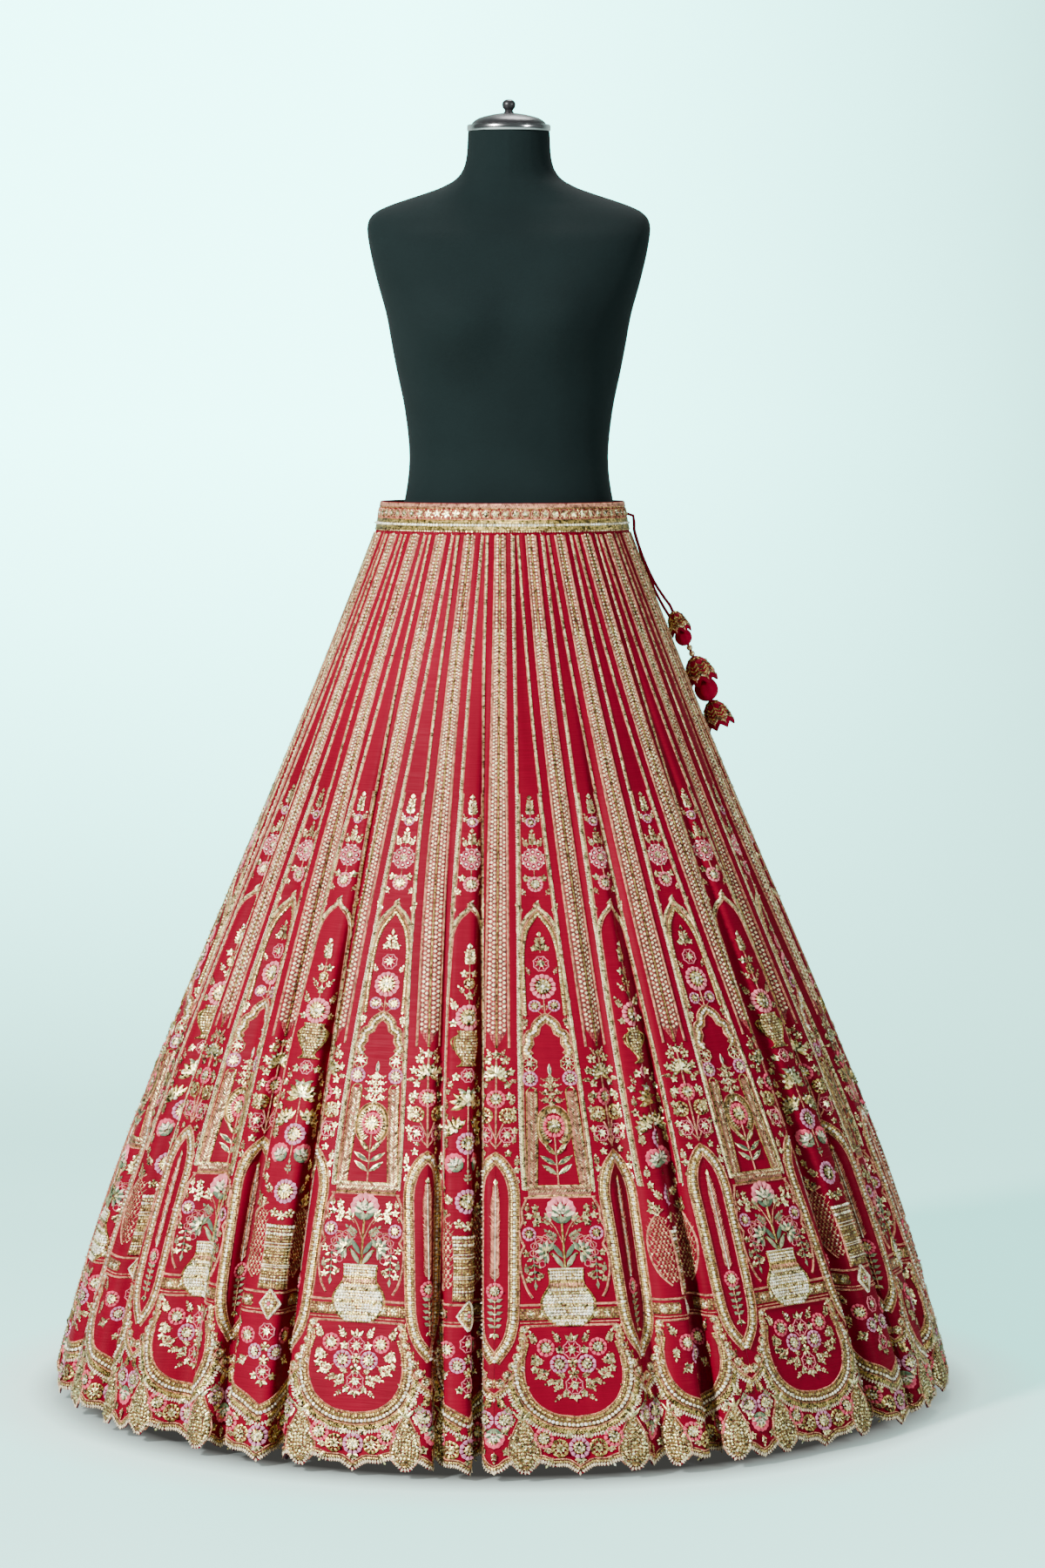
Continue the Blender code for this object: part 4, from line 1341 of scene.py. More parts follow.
def medallion(made):
    """An oval ring about a pink flower, with a cypress over it and leaves under it."""
    made.take(cypress(), (0, 393))
    turns = np.linspace(-150, 150, 26)
    around = polar((0, 0), 1, turns) * (16.4, 21.6) + (0, 370)
    made.strip(around, 6.2, "old", stitch="plain")
    made.row(around, 3.4, "pale", 6, "spine", wide=1.9, stand=0.3)
    made.rails(around, 3.6, 1.5, "rose")
    made.take(disc_flower(12.6, "pink", 14), (0, 371))
    made.line(upright(304, 358, 9), 1.8, "rose")
    for up, turn, long, tint in ((338, 40, 18, "gold"), (327, 58, 19, "green"),
                                 (316, 54, 18, "sage")):
        for side in SIDES:
            made.stamp("blade", (side * 0.8, up), "pale", 1.1 * long, -side * turn, 7.4)
            made.stamp("blade", (side * 1.6, up + 0.8), tint, 0.9 * long, -side * turn, 4.6, 1.4)


def vase(made):
    made.patch(VASE, "gold", tall=1.6)
    seeded(made, VASE, np.arange(149.5, 187, SEED_GAP), 1.4,
           ("white", "white", "pale", "white"), 4.2, 1.2)
    made.row(level(18, 189), 3.6, "rose", 6, "petal", wide=3.2, stand=1.5)
    made.line(level(21, 187), 1.3, "rose", tall=2.4)
    for up in (199.5, 203, 206.5):
        made.row(level(17, up), 3, "white", 3.4, stand=1.4)
    made.lines(tapering(VASE, 0.5), 1.6, "gold", tall=1.6)
    made.line(level(19.5, 210.2), 2.2, "white", tall=2.2)
    made.line(level(18.5, 196.6), 1.6, "gold", tall=2.2)


def bouquet(made):
    """Flowers and sprays that fan out of the vase, in their ogee frame."""
    for path, wide, tint in (
        (FRAME, 2.8, "rose"), (FRAME_LOW, 2.8, "rose"),
        (((2, 211), (7, 219), (15, 228)), 2, "gold"),
        (((1, 240), (7, 255), (13, 264)), 1.4, "rose"),
        (((3, 224), (17, 244), (34, 248)), 1.2, "rose"),
        (((24, 243), (32, 240), (34.5, 228)), 1.2, "rose"),
    ):
        made.lines(curve(path), wide, tint)
    made.line(upright(210, 262, 6), 2.4, "gold")
    made.lay(
        (0, 275, 0, half_flower, 17), (20, 230, -64, cut_flower, 16), (11, 257, -32, spray, 20, 7),
        (7, 243, -50, sprig, 13, 4, "sage"), (37.5, 250, 0, disc_flower, 7.6, "mauve", 9),
        (29, 262, 0, bloom, 4.8), (36.5, 270, 0, bloom, 4.4), (28.5, 279, 0, bloom, 4.2),
        (38, 275, 10, sprig, 7, 3), (41, 260, -14, sprig, 7, 2), (34.5, 228, 0, pendant, 34),
        (42.5, 228, 0, bloom, 4.2), (43, 206, -4, sprig, 8, 3, "sage"), (42, 199, 0, bloom, 4),
        (24, 205, -120, sprig, 8, 3),
    )
    for low, high, tint in ((211, 232, "sage"), (222, 243, "green")):
        for side in SIDES:
            made.stamp("blade", (side * 1.5, low), tint, high - low, -side * 34, 7.4, 0.6)


def panel_flowers(made):
    """The bouquet that hangs inside the lower panel."""
    made.ring("leaf", (0, 129), 2, 3, "pale", 9, wide=4.4, sweep=80)
    made.lay(
        (0, 121, 0, wheel, 10.5), (29, 124, 0, disc_flower, 9.8, "pink", 10),
        (15.5, 105.5, 0, disc_flower, 10, "mauve", 10), (0, 107, 0, bloom, 5.6),
        (0, 95, 0, bloom, 6.2), (0, 82, 0, wheel, 10.5), (14, 121, 0, bloom, 5),
        (12.5, 129, -32, sprig, 11, 3), (40.5, 128, -20, sprig, 12, 4),
        (41, 118, -170, sprig, 13, 4), (25, 100, -118, spray, 15), (32, 110, -100, sprig, 11, 3),
        (13, 92, -150, spray, 14), (21, 88, -110, sprig, 10, 3), (43, 100, 0, bloom, 4.6),
        (9, 91, -60, sprig, 9, 3),
    )
    made.ring("leaf", (0, 72), 0.8, 3, "pale", 7.6, wide=4.4, sweep=110, first=180)
    made.lay((10.5, 73, 0, bloom, 4.8), (15, 72, -130, sprig, 8, 2))


first_kind = work_kali(
    (flower_tree, cusped_arch, medallion, bouquet, vase, panel_flowers), U_PANEL, 0
)
print("first kind of kali:", first_kind.face_count(), "faces")

# %% [markdown]
# ## The kali with an urn
# The other kind alternates with it. Its arch holds a flower over a gold urn, palmettes
# below the urn, and a striped pillar that stands on a diamond.

# %% Second kind of kali
URN = (
    (440, 12.5), (442.5, 8), (446, 6.5), (450, 8.5), (457, 13.5), (466, 15.8), (473, 15),
    (478, 10.5), (481.5, 12),
)
PILLAR = ((175, 16.5), (200, 15.2), (225, 15), (247.5, 16.5))
STRIPES = (  # height, shape and tint of each row of beads on the pillar
    (245.5, "pearl", "white"), (241, "seed", "pale"), (237, "pearl", "white"),
    (233, "seed", "pale"), (229.5, "seed", "gold"), (219, "seed", "pale"),
    (215.5, "seed", "gold"), (212, "seed", "pale"), (208.5, "seed", "gold"),
    (205, "seed", "pale"), (196, "seed", "pale"), (192.5, "seed", "gold"), (189, "seed", "pale"),
    (185.5, "seed", "white"), (182, "seed", "pale"), (178.5, "seed", "gold"),
)
STRIPE_SIZES = {"pearl": 3.8, "seed": 3}


def urn_storey(made):
    made.line(upright(512, 560), 1.1, "rose")
    made.lay(
        (0, 557, 0, sprig, 20, 5, "pale", 0.34), (5.5, 548, 0, bloom, 4.6),
        (0, 537, 0, gold_round, 6.5), (5, 525, -42, sprig, 9, 2), (0, 522, 0, bloom, 5),
        (0, 497, 0, disc_flower, 15, "blush", 15), (14, 505, -24, sprig, 11, 3),
        (17, 490, 0, bloom, 4.4),
    )
    made.patch(URN, "old", tall=1.8)
    seeded(made, URN, np.arange(443, 481, SEED_GAP), 1, ("pale",), 3.2, 1.4)
    made.lines(tapering(URN, 0.4), 1.6, "gold", tall=1.8)
    made.lines(curve([(14, 475), (20, 470), (16, 459)]), 2, "gold")
    made.lay((0, 430, 0, wheel, 8.6), (13.5, 428, 0, bloom, 5), (18, 415, -22, sprig, 9, 2))


def palmettes(made):
    made.line(upright(318, 398), 1.6, "rose")
    made.take(fan(20), (0, 397))
    made.stamp("blade", [(-1, 409), (1, 409)], "sage", 12, (62, -62), 5, 0.6)
    made.lay(
        (13, 366, -38, fan, 17, 7, 150), (0, 352, 0, disc_flower, 12.5, "mauve", 13),
        (14.5, 329, -42, half_flower, 12, "pink"), (26, 345, 4, sprig, 12, 4),
        (25.5, 383, 0, bloom, 4.8), (25, 390, 4, sprig, 9, 3), (23.5, 411, 0, bloom, 4.6),
        (29, 308, 6, sprig, 10, 3), (27.5, 300, 0, bloom, 4.6), (25, 364, 0, bloom, 4.6),
        (0, 306, 0, sprig, 12, 2, "sage"), (0, 286, 0, disc_flower, 13.8, "mauve", 15),
        (9.5, 261, 0, bloom, 5.4), (0, 258, 0, bloom, 5.8), (17, 283, -40, sprig, 12, 3),
        (24, 262, -26, spray, 17),
    )


def lattice(made, side):
    """A net of crossed threads in a curved corner beside the pillar."""
    edge = curve([(19, 272), (33, 262), (43, 243), (45, 222), (39, 200), (27, 186)])
    made.line(edge * (side, 1), 2.2, "rose")
    rim = edge[np.argsort(edge[:, 1])]
    for up in np.arange(190, 262, 4.6):
        far = np.interp(up, rim[:, 1], rim[:, 0]) - 2
        for x in np.arange(19 + (2.3 if round(up / 4.6) % 2 else 0), far, 4.6):
            made.stamp("seed", (side * x, up), "pale", 2.3)
            for lean in (-45, 45):
                made.stamp("spine", (side * x, up), "rose", 6.4, lean, 0.8)


def pillar(made):
    """A striped pillar on a diamond, between its two lattices."""
    made.patch(PILLAR, "old", tall=2.2)
    for up, shape, tint in STRIPES:
        size = STRIPE_SIZES[shape]
        made.row(level(look_up(PILLAR, up) - 1.6, up), 0.98 * size, tint, size, shape, stand=1.7)
    for up in (222.6, 226.4, 199.6, 202):
        made.line(level(15.6, up), 2.4, "white", tall=3.2)
    made.lines(tapering(PILLAR, 0.3), 1.4, "rose", tall=2)
    for side in SIDES:
        lattice(made, side)
    diamond = straight([(0, 142), (12, 158.5), (0, 175), (-12, 158.5), (0, 142)], 3.4)
    made.line(diamond, 2.6, "white", tall=2.4)
    made.patch(((143, 0.5), (150.5, 6), (158.5, 11), (166.5, 6), (174, 0.5)),
               "gold", tall=1.6)
    made.ring("pearl", (0, 158.5), 4.2, 6, "white", 3, stand=1.6)
    made.stamp("pearl", (0, 158.5), "pink", 4.6, stand=1.8)


def urn_panel(made):
    made.lay(
        (0, 128, 0, wheel, 10), (24, 122, 0, disc_flower, 9.4, "pink", 10),
        (36, 130, -24, sprig, 12, 3), (38, 118, -168, sprig, 12, 3), (0, 111, 0, bloom, 5.4),
        (12.5, 105, 0, disc_flower, 8.6, "mauve", 10), (0, 96, 0, bloom, 6),
        (21, 99, -122, spray, 13), (0, 83, 0, wheel, 9), (10.5, 78, 0, bloom, 4.6),
    )
    made.ring("leaf", (0, 74), 0.8, 3, "pale", 7, wide=4.2, sweep=110, first=180)


second_kind = work_kali((urn_storey, palmettes, pillar, urn_panel), V_PANEL, -1)
print("second kind of kali:", second_kind.face_count(), "faces")

# %% [markdown]
# ## The strip over each seam
# A band of sequins covers each seam from the waist to the middle of the skirt, ends in a
# leafy bud, and a flowering stem leads down to a long pearl-edged capsule with a cypress
# inside. Below it a chain of circles comes to a point over the seam's own small lobe.

# %% Seam strip
BAND_POINT, BAND_STEP = 462, 9  # where the band's lower point is
BAND_PEARLS = (  # from and up to which height, their size, and shares of the half width
    (480, 620, 3.9, (0.3, 0.63)), (620, 800, 3.4, (0.32, 0.64)),
    (800, 950, 2.8, (0.33, 0.66)), (950, 2000, 3, (0.5,)),
)
BAND_HALVES = (  # height and half width of the band of sequins
    (458, 14.2), (480, 13.6), (690, 10.8), (850, 7.8), (WAIST_UP, 5.4),
)
CAPSULE = (  # the middle of its pearl border, from its upper point to its lower one
    (0, 337), (9, 327.5), (16.5, 314), (20.8, 294), (21, 262), (21, 215), (21, 172), (19.6, 150),
    (14, 130), (0, 110),
)
POINTED_CHAIN = (
    (32.5, 149), (31, 136), (27, 120), (20, 104), (10.5, 90), (0, 80),
)


def sequin_band(made):
    """Pearls in columns on ruby thread between couched cords, from a point to the waist."""
    up = np.append(np.arange(BAND_POINT, WAIST_UP, BAND_STEP), WAIST_UP)
    wide = look_up(BAND_HALVES, up)
    point = np.clip((up - BAND_POINT) / 20, 0.05, 1)
    made.patch(np.stack([up, (wide - 1.2) * point], axis=1), "ruby", 0.2, False, "beads", 3.1)

    def rail(share, low=0, high=2000):
        keep = (up >= low) & (up < high)
        return np.stack([share * wide[keep], up[keep]], axis=1)

    made.line(rail(0), 3.2, "gold", tall=1.2)
    made.lines(rail(1), 3, "rose", tall=1.2)
    for side in SIDES:
        for low, high, size, columns in BAND_PEARLS:
            for number, share in enumerate(columns):
                shift = 2.6 if number % 2 else 0
                places = rail(side * share, low, high + BAND_STEP) + (0, shift)
                made.row(places, 1.42 * size, "pearl", size, stand=0.3)


def flowering_stem(made):
    made.line(upright(346, 452, 9), 2.2, "rose")
    made.lines(curve([(0, 348), (4, 352), (7, 357)]), 1.8, "rose")
    made.lines(curve([(0, 357), (5, 368), (8, 375)]), 1.8, "rose")
    made.lay(
        (0, 454, 0, bloom, 5), (10, 448, 0, bloom, 5.4), (5, 452, -30, sprig, 7, 2),
        (0, 430, 0, fan, 15, 11, 236), (16, 434, 0, bloom, 5), (12.5, 419, 0, bloom, 4.6),
        (15, 424, -96, sprig, 7, 3), (0, 403, 0, disc_flower, 10.4, "pink", 12),
        (15, 406, 0, bloom, 5), (16, 396, -26, sprig, 8, 3), (12.5, 384, 0, gold_round, 9.4),
        (19.5, 376, -4, sprig, 9, 3), (20, 390, 0, bloom, 4.4), (12.5, 362, 0, wheel, 9.4),
        (19, 352, -12, sprig, 8, 3), (21, 367, 0, bloom, 4.2), (8, 349, -70, sprig, 6, 2),
    )


def capsule(made):
    edge = both(curve(CAPSULE, 5)[::-1])
    made.strip(edge, 10.4, "gold", tall=0.3, pitch=2.6)
    made.row(edge, 4.8, "white", 3.8, "pearl", stand=0.3)
    made.rails(edge, 5.7, 1.7, "rose", tall=1.1)
    made.lay((0, 0, 0, feather, 198, 306, 6.6), (0, 187, 0, disc_flower, 9.2, "pink", 11))
    for up in (175, 168, 161, 154, 147):
        for side in SIDES:
            made.stamp("leaf", (side * 0.4, up), "sage", 8, -side * 66, 4.4)
        made.stamp("seed", (0, up), "pale", 3, stand=0.6)
    made.ring("leaf", (0, 141), 0.5, 3, "pale", 7, wide=3.4, sweep=90, first=180)
    made.line(upright(140, 178, 6), 1.2, "rose")
    made.lay(
        (23, 322, 0, bloom, 4.4), (23.5, 326, -2, sprig, 9, 3), (14, 341, 0, bloom, 4.2),
        (25, 306, 4, sprig, 6, 2),
    )


def pointed_chain(made):
    path = curve(POINTED_CHAIN)
    for side in SIDES:
        chain(made, path * (side, 1), (4.6, 6))
    outer = both(curve([(x + 2.5 if x else 0, up - 6) for x, up in POINTED_CHAIN[1:]]))
    made.line(outer, 1.9, "rose")
    made.strip(beside(outer, 2.6), 3, "gold", pitch=2.3)
    made.row(below(beside(outer, 3.8), 106), 3.1, "cream", 4.8, "leaf", lean=-6, wide=2.8)


def seam_lobe(made):
    """Two mauve flowers and a pink one over the small lobe at the seam."""
    made.lay(
        (10.6, 46, 0, disc_flower, 10, "mauve", 10), (0, 27, 180, half_flower, 12, "pink"),
        (0, 24, 0, disc_flower, 7.6, "pink", 9), (13.5, 12, 0, bloom, 5),
        (18.5, 31, -168, sprig, 11, 3), (19.5, 58, -30, sprig, 12, 4),
        (20.5, 51, -200, sprig, 12, 4), (25, 68, 0, bloom, 5), (31, 74, -40, sprig, 8, 3),
        (0, 11, 180, sprig, 9, 3),
    )


seam_strip = worked((sequin_band, flowering_stem, capsule, pointed_chain, seam_lobe))
print("seam strip:", seam_strip.face_count(), "faces")

# %% [markdown]
# ## Gold thread
# One finish serves all the embroidery. Each point carries its own colour and shine, so silk
# petals stay dull beside the gilt wire and the sequins. A fine cell pattern breaks the
# surface into stitches, and on metal a few of its cells are painted brighter as glints and
# others darker, which makes the work glitter.

# %% Embroidery finish
SHADED_CLOTH_GAP = (0.11, 0.004, 0.012)  # the cloth that shows in the corners between beads, painted darker than the silk as the shade between them

zari = Finish("gold and silk embroidery", Specular_IOR_Level=0.4)
tint = zari.add("Attribute", {"attribute_name": "tint"}, {})
shine = Value(zari, tint.output.node.outputs["Alpha"])
where = zari.place()
cells = zari.add("TexVoronoi", {}, {"Vector": where, "Scale": 420})
each = Value(zari, cells.output.node.outputs["Color"])
each = zari.add("SeparateColor", {}, {"Color": each})
fine = zari.noise(where, 2600, 1)
print("thread and sequins ready")

# %% [markdown]
# Strips carry a second attribute, the place in their own stitch pattern: how far along, how
# far across, and which kind. Beads are the cells of a nearly square Voronoi pattern, painted
# darker towards their edges as shade on their domes, with the cloth in their corners painted
# darker than the silk as the shade between them. Slanting stitches are a wave bent at the
# strip's middle, painted lighter on its crests and darker in its hollows.

# %% Beaded and slanted strips
laid = zari.add("Attribute", {"attribute_name": "weave"}, {}, 1)
parts = zari.add("SeparateXYZ", {}, {"Vector": laid}).output.node.outputs
along, across, stitch = (Value(zari, part) for part in parts)
slanted = stitch.between(1.4, 1.6)
beaded = stitch.between(0.4, 0.6) - slanted
bead = zari.add("TexVoronoi", {"voronoi_dimensions": "2D"},
                {"Vector": laid, "Scale": 1, "Randomness": 0.28})
each_bead = Value(zari, bead.output.node.outputs["Color"])
each_bead = zari.add("SeparateColor", {}, {"Color": each_bead})
gap = bead.between(0.3, 0.6)
shaded_gap = bead.between(0.44, 0.56) * beaded
slant = zari.add("Math", {"operation": "ABSOLUTE"}, {0: across})
slant = zari.add("Math", {"operation": "SINE"}, {0: (along + slant) * (2 * pi)})
# on metal, a few cells are painted brighter as glints, and others darker at random
glints_and_dark_cells = each.between(0.78, 0.92) * 0.75 - (1 - each.between(0.1, 0.5)) * 0.8
loose = ((each - 0.5) * 0.5 + shine * glints_and_dark_cells) * (1 - beaded)
# painted shading of the relief: beads darker towards their edges, the slanted stitches' wave
# lighter on its crests
shade = (1 + loose + slanted * slant * 0.36
         + beaded * ((each_bead - 0.5) * 1.5 + 0.2 - gap * 0.9))
lighter = zari.add("VectorMath", {"operation": "SCALE"}, {0: tint, 3: shade})
zari.set(
    Base_Color=zari.blend(shaded_gap, lighter, SHADED_CLOTH_GAP),
    Metallic=shine * (1 - shaded_gap),
    Roughness=0.62 - shine * 0.36 + fine * 0.1 + shaded_gap * 0.3,
)
zari.bump(fine * 0.2 + each * 0.35 + slanted * slant * 0.5 - beaded * gap, 0.0007, 0.8)
print("beads and slanted stitches ready")

# %% [markdown]
# ## Laying the embroidery on the skirt
# A drawing becomes a mesh in one step: each of its points is placed on the cloth. The
# drawings for the two kinds of kali are used twelve times each, and the strip over every
# seam.

# %% Sewing
EMBROIDERY_LIFT = 0.35  # millimetres off the outer face


def mesh_from(name, points, faces, marks, finish):
    mesh = bpy.data.meshes.new(name)
    mesh.vertices.add(len(points))
    mesh.vertices.foreach_set("co", points.ravel())
    mesh.loops.add(3 * len(faces))
    mesh.loops.foreach_set("vertex_index", faces.ravel())
    mesh.polygons.add(len(faces))
    mesh.polygons.foreach_set("loop_start", np.arange(0, 3 * len(faces), 3))
    mesh.update(calc_edges=True)
    colours = np.array(list(TINTS.values()))[marks[:, 0].astype(int)]
    colours[:, :3] = np.minimum(colours[:, :3] * marks[:, 1:2], 1)
    tint_of = mesh.attributes.new("tint", "FLOAT_COLOR", "POINT")
    tint_of.data.foreach_set("color", colours.ravel())
    weave_of = mesh.attributes.new("weave", "FLOAT_VECTOR", "POINT")
    weave_of.data.foreach_set("vector", np.ascontiguousarray(marks[:, 2:]).ravel())
    mesh.materials.append(finish)
    made = bpy.data.objects.new(name, mesh)
    bpy.context.scene.collection.objects.link(made)
    return made


def sew(name, drawing, middle):
    """Lays a drawing on the skirt, its middle line at a place counted in kalis."""
    points, faces, marks = drawing.gathered()
    up = points[:, 1] * MM
    place = middle + points[:, 0] * MM / kali_wide(up)
    laid = on_cloth(place, up, FACE + (EMBROIDERY_LIFT + points[:, 2]) * MM)
    return mesh_from(name, laid, faces, marks, zari.material)


kinds = (first_kind, second_kind)
panels = [sew(f"zari_kali_{n + 1:02d}", kinds[n % 2], n + 0.5) for n in range(KALIS)]
strips = [sew(f"zari_seam_{n + 1:02d}", seam_strip, float(n)) for n in range(KALIS)]
faces_in_all = sum(len(piece.data.polygons) for piece in panels + strips)
print(len(panels + strips), "embroidered pieces,", faces_in_all, "faces")

# %% [markdown]
# ## The waistband
# The kalis hang from a narrow band in two pieces, sewn together at one side and open at the
# other for the drawstring. Each is a thin strip of the same silk with a lining behind it.
# The embroidery is drawn flat along the whole strip and wrapped round the oval with it.

# %% Waistband
BAND_WALL, PLACKET = 0.0024, 0.0045
BAND_COLUMNS, BAND_ROWS = 96, 8
BAND_PATTERN = 0.36  # how much of the slubs' pattern a strip is wide
OPEN_END = 90 - float(np.degrees(PLACKET / WAIST_Y))
SEWN_END = 90 - float(np.degrees(0.5 * SEAM_GAP / BAND_TOP_Y))
BANDS = {"front": (-SEWN_END, OPEN_END), "back": (180 - OPEN_END, 180 + SEWN_END)}


def on_band(degrees, share, out):
    """Points on the waistband, from its lower edge (0) to its upper edge (1)."""
    turn = np.radians(degrees)
    half_x = WAIST_X + (BAND_TOP_X - WAIST_X) * share + out
    half_y = WAIST_Y + (BAND_TOP_Y - WAIST_Y) * share + out
    z = WAIST_Z + SEAM_GAP + BAND_HEIGHT * share
    return np.stack([half_x * np.sin(turn), -half_y * np.cos(turn), z + 0 * turn], axis=1)


def make_band(name, start, end):
    piece, right, up = new_grid(name, BAND_COLUMNS, BAND_ROWS)
    move_points(piece, on_band(start + (end - start) * right, up, 0.5 * BAND_WALL))
    set_uv(piece, right * BAND_PATTERN, up * BAND_HEIGHT / UV_METRES)
    return make_wall(piece, BAND_WALL, 0)


def band_drawing(length):
    """The rows of the waistband, as a strip of a length in millimetres."""
    made = Drawing()

    def along_band(up):
        return straight([(1, up), (length - 1, up)], 8)

    made.strip(along_band(31.6), 5, "rose", tall=0.4, stitch="slanted", pitch=2.6)
    made.line(along_band(28.6), 1.4, "gold")
    circles = round((length - 4) / 11.6)
    gap = (length - 4) / circles
    for k in range(circles):
        x = 2 + (k + 0.5) * gap
        made.loop((x, 22.2), 5, 1.5, "rose", count=10)
        made.ring("leaf", (x, 22.2), 0.4, 5, "pale", 4.2, wide=3.9, first=12 * (k % 3))
        made.stamp("pearl", (x, 22.2), "white", 2.8, stand=0.5)
        if k:
            left = x - 0.5 * gap
            made.stamp("leaf", [(left, 24.4), (left, 20)], "gold", 3.4, (0, 180), 2.4)
    made.line(along_band(16), 1.4, "rose")
    for up in (13.4, 5.4):
        made.strip(along_band(up), 4.2, "gold", tall=0.4, stitch="slanted", pitch=2.2)
    made.strip(along_band(9.4), 4, "gold", tall=0.2, pitch=2)
    made.row(along_band(9.4), 3.6, "white", 3.4, "pearl", stand=0.3)
    made.row(along_band(2.1), 3, "pale", 2.6)
    return made


bands, band_embroidery = {}, {}
for side, (start, end) in BANDS.items():
    bands[side] = make_band(f"band_{side}", start, end)
    turns = np.linspace(start, end, 721)
    run = run_along(on_band(turns, 0.5 + 0 * turns, 0.5 * BAND_WALL)) / MM
    points, faces, marks = band_drawing(run[-1]).gathered()
    laid = on_band(
        np.interp(points[:, 0], run, turns), points[:, 1] * MM / BAND_HEIGHT,
        0.5 * BAND_WALL + (EMBROIDERY_LIFT + points[:, 2]) * MM,
    )
    band_embroidery[side] = mesh_from(f"zari_band_{side}", laid, faces, marks, zari.material)
    print("waistband", side, "is", round(run[-1] * MM, 4), "m long,", len(faces), "faces")

# %% [markdown]
# ## Bells, balls and beads
# The drawstring ends in latkans: cups of stiff cloth with a pointed edge, and balls of cloth
# stuffed hard. Each is turned: a circle is extruded ring by ring along a profile. The cups
# then have a net of sequins drawn round them.

# %% Turned pieces
def stack_rings(name, rows, sides, finish):
    """A circle extruded ring by ring through (radius, height) rows, closed at both ends."""
    deselect()
    radius, height_now = rows[0]
    bpy.ops.mesh.primitive_circle_add(
        vertices=sides, radius=radius, fill_type="NGON", location=(0, 0, height_now)
    )
    piece = bpy.context.object
    piece.name = piece.data.name = name
    bpy.ops.object.transform_apply()
    bpy.ops.object.mode_set(mode="EDIT")
    bpy.ops.mesh.select_all(action="SELECT")
    for wider, high in rows[1:]:
        bpy.ops.mesh.extrude_region()
        bpy.ops.transform.translate(value=(0, 0, high - height_now))
        if wider != radius:
            share = wider / radius
            bpy.ops.transform.resize(value=(share, share, 1), center_override=(0, 0, high))
        radius, height_now = wider, high
    bpy.ops.mesh.select_all(action="SELECT")
    bpy.ops.mesh.normals_make_consistent(inside=False)
    bpy.ops.object.mode_set(mode="OBJECT")
    piece.data.materials.append(finish)
    return piece


# the balls and bells take the skirt's silk painted lighter: painted light on the shaded side where
# they hang
ball_silk = make_silk("ball silk", "Object", 1, 1.9)
bell_silk = make_silk("bell silk", "Object", 1, 1.6)

CHARMS = {  # what hangs on each end: kind, number, width and length
    "short": (("bell", 1, 0.026, 0.029), ("ball", 1, 0.021, 0.021)),
    "long": (
        ("bead", 1, 0.0075, 0.0075), ("bead", 2, 0.0075, 0.0075), ("bell", 2, 0.038, 0.035),
        ("ball", 2, 0.029, 0.029), ("bell", 3, 0.036, 0.035),
    ),
}
TEETH, BELL_MOUTH = 8, 0.004
BELL_SIDES = 8 * TEETH
TOOTH = 0.1  # how deep a bell's points are, as a share of its length


def bell_rows(across, length):
    """Radius and depth down the outside of a bell, to the middle of its pointed edge."""
    radius = 0.5 * across
    rows = ((0.2 * radius, 0), (0.62 * radius, 0.22 * length), (0.82 * radius, 0.55 * length),
            (radius, (1 - TOOTH) * length))
    return [tuple(row) for row in smooth_through(rows, 4)]


def place_charm(points, at, down):
    """Points of a charm drawn upright at the origin, moved to hang at a place."""
    turn = np.array(Vector((0, 0, -1)).rotation_difference(down).to_matrix())
    return points @ turn.T + np.array(at)


def make_bell(name, across, length):
    """A cup with a pointed edge and a shallow mouth."""
    edge = length * TOOTH
    rows = [(radius, -depth) for radius, depth in bell_rows(across, length)]
    rows += [(0.45 * across, edge - length), (0.275 * across, edge - length + BELL_MOUTH)]
    piece = stack_rings(name, rows, BELL_SIDES, bell_silk)
    smooth(piece, 60)
    points = points_of(piece)
    around = np.arctan2(points[:, 1], points[:, 0]) * TEETH / (2 * pi) % 1
    low = np.abs(points[:, 2] - (edge - length)) < 1e-6
    points[:, 2] -= low * edge * (1 - 4 * np.abs(around - 0.5))
    move_points(piece, points)
    return piece


def bell_embroidery(name, across, length):
    """A net of sequins with a beaded zigzag round its edge."""
    made = Drawing()
    whole = pi * across / MM
    tooth, deep = whole / TEETH, length / MM
    tip, notch = -0.74 * deep, -0.6 * deep
    for k in range(TEETH):
        left, middle, right = k * tooth, (k + 0.5) * tooth, (k + 1) * tooth
        zigzag = straight([(left, notch), (middle, tip), (right, notch)], 1.6)
        made.row(zigzag, 2.2, "pale", 2.6, stand=0.5)
        made.line(zigzag + (0, 2), 1.5, "rose", tall=1.2)
        made.stamp("blade", (middle, tip + 3), "rose", 7, 180, 3, 0.8)
        for up in (-0.56 * deep, -0.43 * deep, -0.3 * deep):
            chevron = straight([(left, up + 2.4), (middle, up - 1.4), (right, up + 2.4)], 1.8)
            made.row(chevron, 2.4, "gold", 2.7, stand=0.2)
        made.line(straight([(left, -0.1 * deep), (left, -0.58 * deep)], 3), 1.2, "rose")
    made.row(straight([(0, -0.07 * deep), (whole, -0.07 * deep)]), 3.4, "gold", 3)
    points, faces, marks = made.gathered()
    depth = -points[:, 1] * MM
    outside = look_up([(down, radius) for radius, down in bell_rows(across, length)], depth)
    radius = outside + (0.25 + points[:, 2]) * MM
    angle = 2 * pi * points[:, 0] / whole
    laid = np.stack([radius * np.cos(angle), radius * np.sin(angle), -depth], axis=1)
    return mesh_from(name, laid, faces, marks, zari.material)


